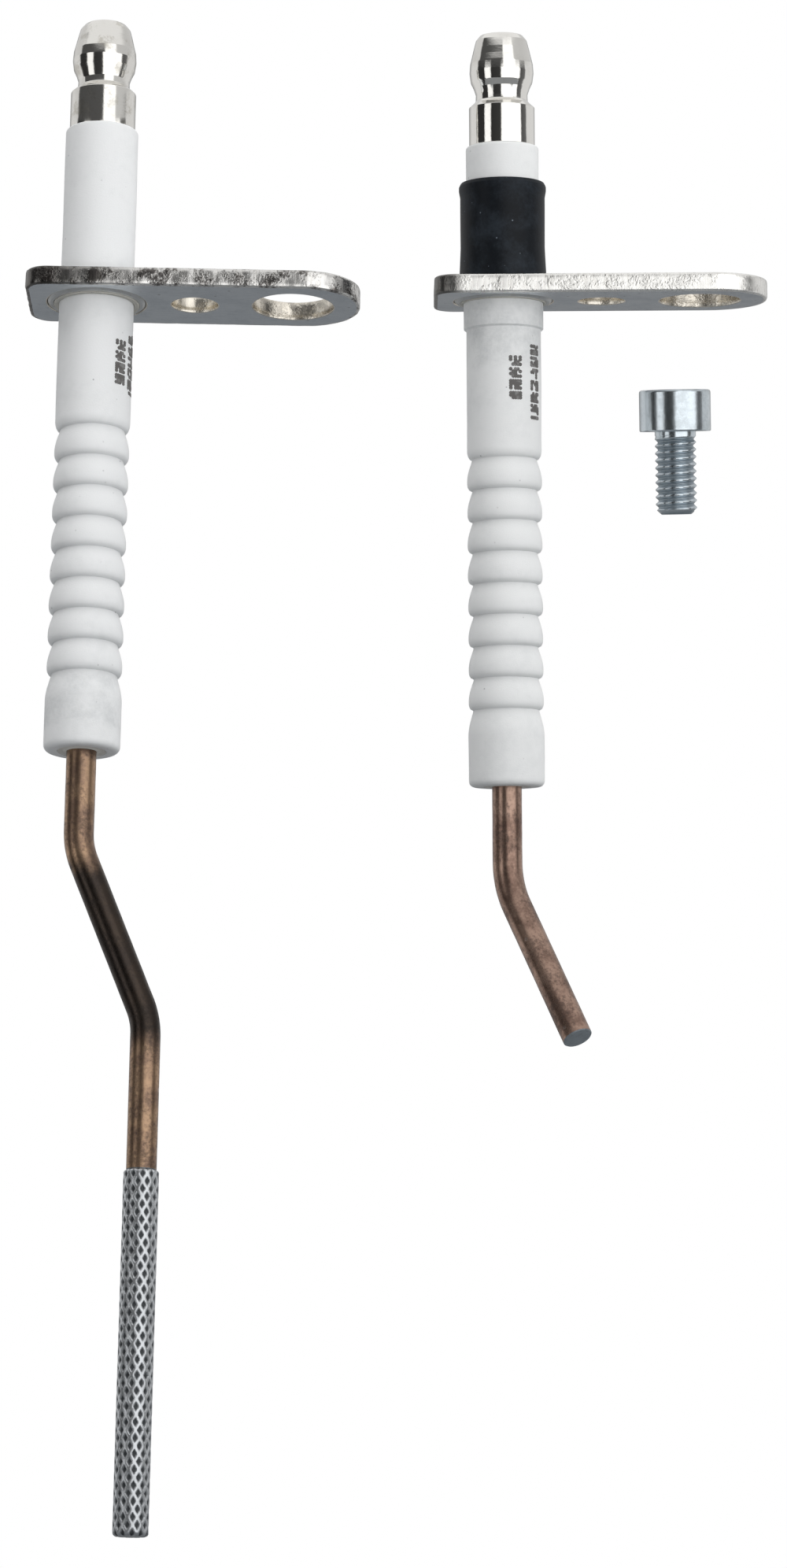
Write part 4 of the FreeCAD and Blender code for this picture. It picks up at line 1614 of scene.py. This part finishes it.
@dataclass
class Studio:
    """White floor, banded soft light and the camera."""

    distance: float = 500.0
    elevation: float = -4.07
    roll: float = -0.35
    centre_across: float = -10.89
    centre_height: float = -46.63
    view_height: float = 150.53
    sensor: float = 36.0
    floor_gap: float = 1.0
    floor_reach: float = 0.25
    strength: float = 1.5
    overhead: float = 0.6
    matt_lift: float = 0.52

    def camera(self) -> None:
        """Stand the camera in front of the set."""
        data = bpy.data.cameras.new("camera")
        data.sensor_width = self.sensor
        data.lens = self.sensor * self.distance / self.view_height
        data.clip_start = 0.01
        data.clip_end = 50.0
        made = in_scene("camera", data)
        angle = math.radians(self.elevation)
        back = Vector((0, -math.cos(angle), math.sin(angle)))
        centre = Vector((self.centre_across, 0, self.centre_height))
        made.location = (centre + back * self.distance) * MM
        made.rotation_mode = "QUATERNION"
        level = (-back).to_track_quat("-Z", "Y")
        made.rotation_quaternion = level @ Quaternion((0, 0, 1), math.radians(self.roll))
        bpy.context.scene.camera = made

    def floor(self) -> None:
        """Lay a pale floor just under the lowest tip."""
        reach = self.floor_reach
        height = CAD_BOX[0].z - self.floor_gap * MM
        mesh = bpy.data.meshes.new("studio_floor")
        corners = [(-reach, -reach, height), (reach, -reach, height), (reach, reach, height),
                   (-reach, reach, height)]
        mesh.from_pydata(corners, [], [(0, 1, 2, 3)])
        made = in_scene("studio_floor", mesh)
        paper = bpy.data.materials.new("white_paper")
        graph = Graph.emptied(paper)
        matt = graph.add("ShaderNodeBsdfPrincipled", {"Base Color": PAPER_GREY,
                                                      "Roughness": 0.9})
        glow = graph.add("ShaderNodeEmission", {"Color": WHITE, "Strength": 1.0})
        seen = graph.add("ShaderNodeLightPath").outputs["Is Camera Ray"]
        both = graph.add("ShaderNodeMixShader", {0: seen, 1: matt.outputs[0],
                                                 2: glow.outputs[0]})
        graph.add("ShaderNodeOutputMaterial", {"Surface": both.outputs[0]})
        mesh.materials.append(paper)

    def light(self) -> None:
        """Light the set with soft boxes and dark gaps all round it."""
        world = bpy.data.worlds.new("studio")
        bpy.context.scene.world = world
        graph = Graph.emptied(world)
        way = graph.add("ShaderNodeTexCoord").outputs["Generated"]
        parts = graph.add("ShaderNodeSeparateXYZ", {0: way})
        forward = graph.math("MULTIPLY", parts.outputs["Y"], -1.0)
        turn = graph.math("ARCTAN2", parts.outputs["X"], forward)
        share = graph.math("MULTIPLY_ADD", turn, 1 / FULL_TURN, 0.5)
        level = self.bands(graph, share, LEVEL_BANDS)
        high = self.bands(graph, share, HIGH_BANDS)
        height = parts.outputs["Z"]
        sky = graph.blend(graph.spread(height, *HIGH_FROM), level, high)
        sky = graph.blend(graph.spread(height, *OVERHEAD_FROM), sky, (self.overhead,) * 3)
        rays = graph.add("ShaderNodeLightPath")
        strength = graph.math("MULTIPLY_ADD", rays.outputs["Is Diffuse Ray"],
                              self.matt_lift, self.strength)
        glow = graph.add("ShaderNodeBackground", {"Color": sky, "Strength": strength})
        white = graph.add("ShaderNodeBackground", {"Color": WHITE, "Strength": 1.0})
        both = graph.add("ShaderNodeMixShader", {0: rays.outputs["Is Camera Ray"],
                                                 1: glow.outputs[0], 2: white.outputs[0]})
        graph.add("ShaderNodeOutputWorld", {"Surface": both.outputs[0]})

    @staticmethod
    def bands(graph: Graph, share: Socket,
              bands: Sequence[tuple[float, float]]) -> Socket:
        """Return the brightness of the surroundings by direction.

        Args:
            graph: The world's graph.
            share: Direction round the set, 0 to 1, with 0.5 towards the camera.
            bands: Degrees round from the camera, positive to its right, and brightness.

        Returns:
            The brightness as a colour.
        """
        node = graph.add("ShaderNodeValToRGB", {0: share})
        ramp = node.color_ramp
        ramp.elements.remove(ramp.elements[-1])
        for number, (angle, bright) in enumerate(bands):
            place = angle / 360 + 0.5
            element = ramp.elements.new(place) if number else ramp.elements[0]
            element.position = place
            element.color = (bright, bright, bright, 1.0)
        return node.outputs["Color"]

    def build(self) -> None:
        """Make the camera, floor and light."""
        scene = bpy.context.scene
        scene.view_settings.view_transform = "Standard"
        self.camera()
        self.floor()
        self.light()
        LOG.info("studio ready")


def main() -> None:
    """Build the set in order, then the studio."""
    logging.basicConfig(level=logging.INFO, format="%(name)s %(message)s")
    IgnitionElectrode(
        "ignition", "ignition_electrode", Matrix.Identity(4), top=15.1, below_radius=3.85,
        ceramic=Finishes.ceramic, terminal=Finishes.terminal, edge_state=EdgeState.GROUND,
        edge_finish=Finishes.ground_edge,
        marks=((-73.0, -5.9, 4.2), (-36.0, -4.7, 7.1))).build()
    screw_hole, _ = mount("sensing_screw_hole")
    pass_hole, _ = mount("sensing_pass_through_hole")
    _, upwards = mount("sensing_terminal_base")
    along = (pass_hole - screw_hole).normalized()
    origin = screw_hole - along * BracketPlate.hole_pitch - upwards * BracketPlate.thick / 2
    SensingElectrode(
        "sensing", "sensing_electrode", seat_matrix(origin, along, upwards), top=17.5,
        below_radius=3.6, ceramic=Finishes.worn_ceramic, terminal=Finishes.worn_terminal,
        edge_state=EdgeState.BATTERED, edge_finish=Finishes.battered_edge,
        marks=((-43.0, -4.6, 4.3), (-14.0, -3.6, 6.0))).build()
    middle, downwards = mount("screw_shank")
    underhead = middle - downwards * SHANK_MOUNT_DEPTH
    FixingScrew("socket_screw", "fixing_screw",
                seat_matrix(underhead, Vector((1, 0, 0)), -downwards), "zinc_steel",
                ("fixing_screw",)).build()
    Studio().build()


if __name__ == "__main__":
    main()
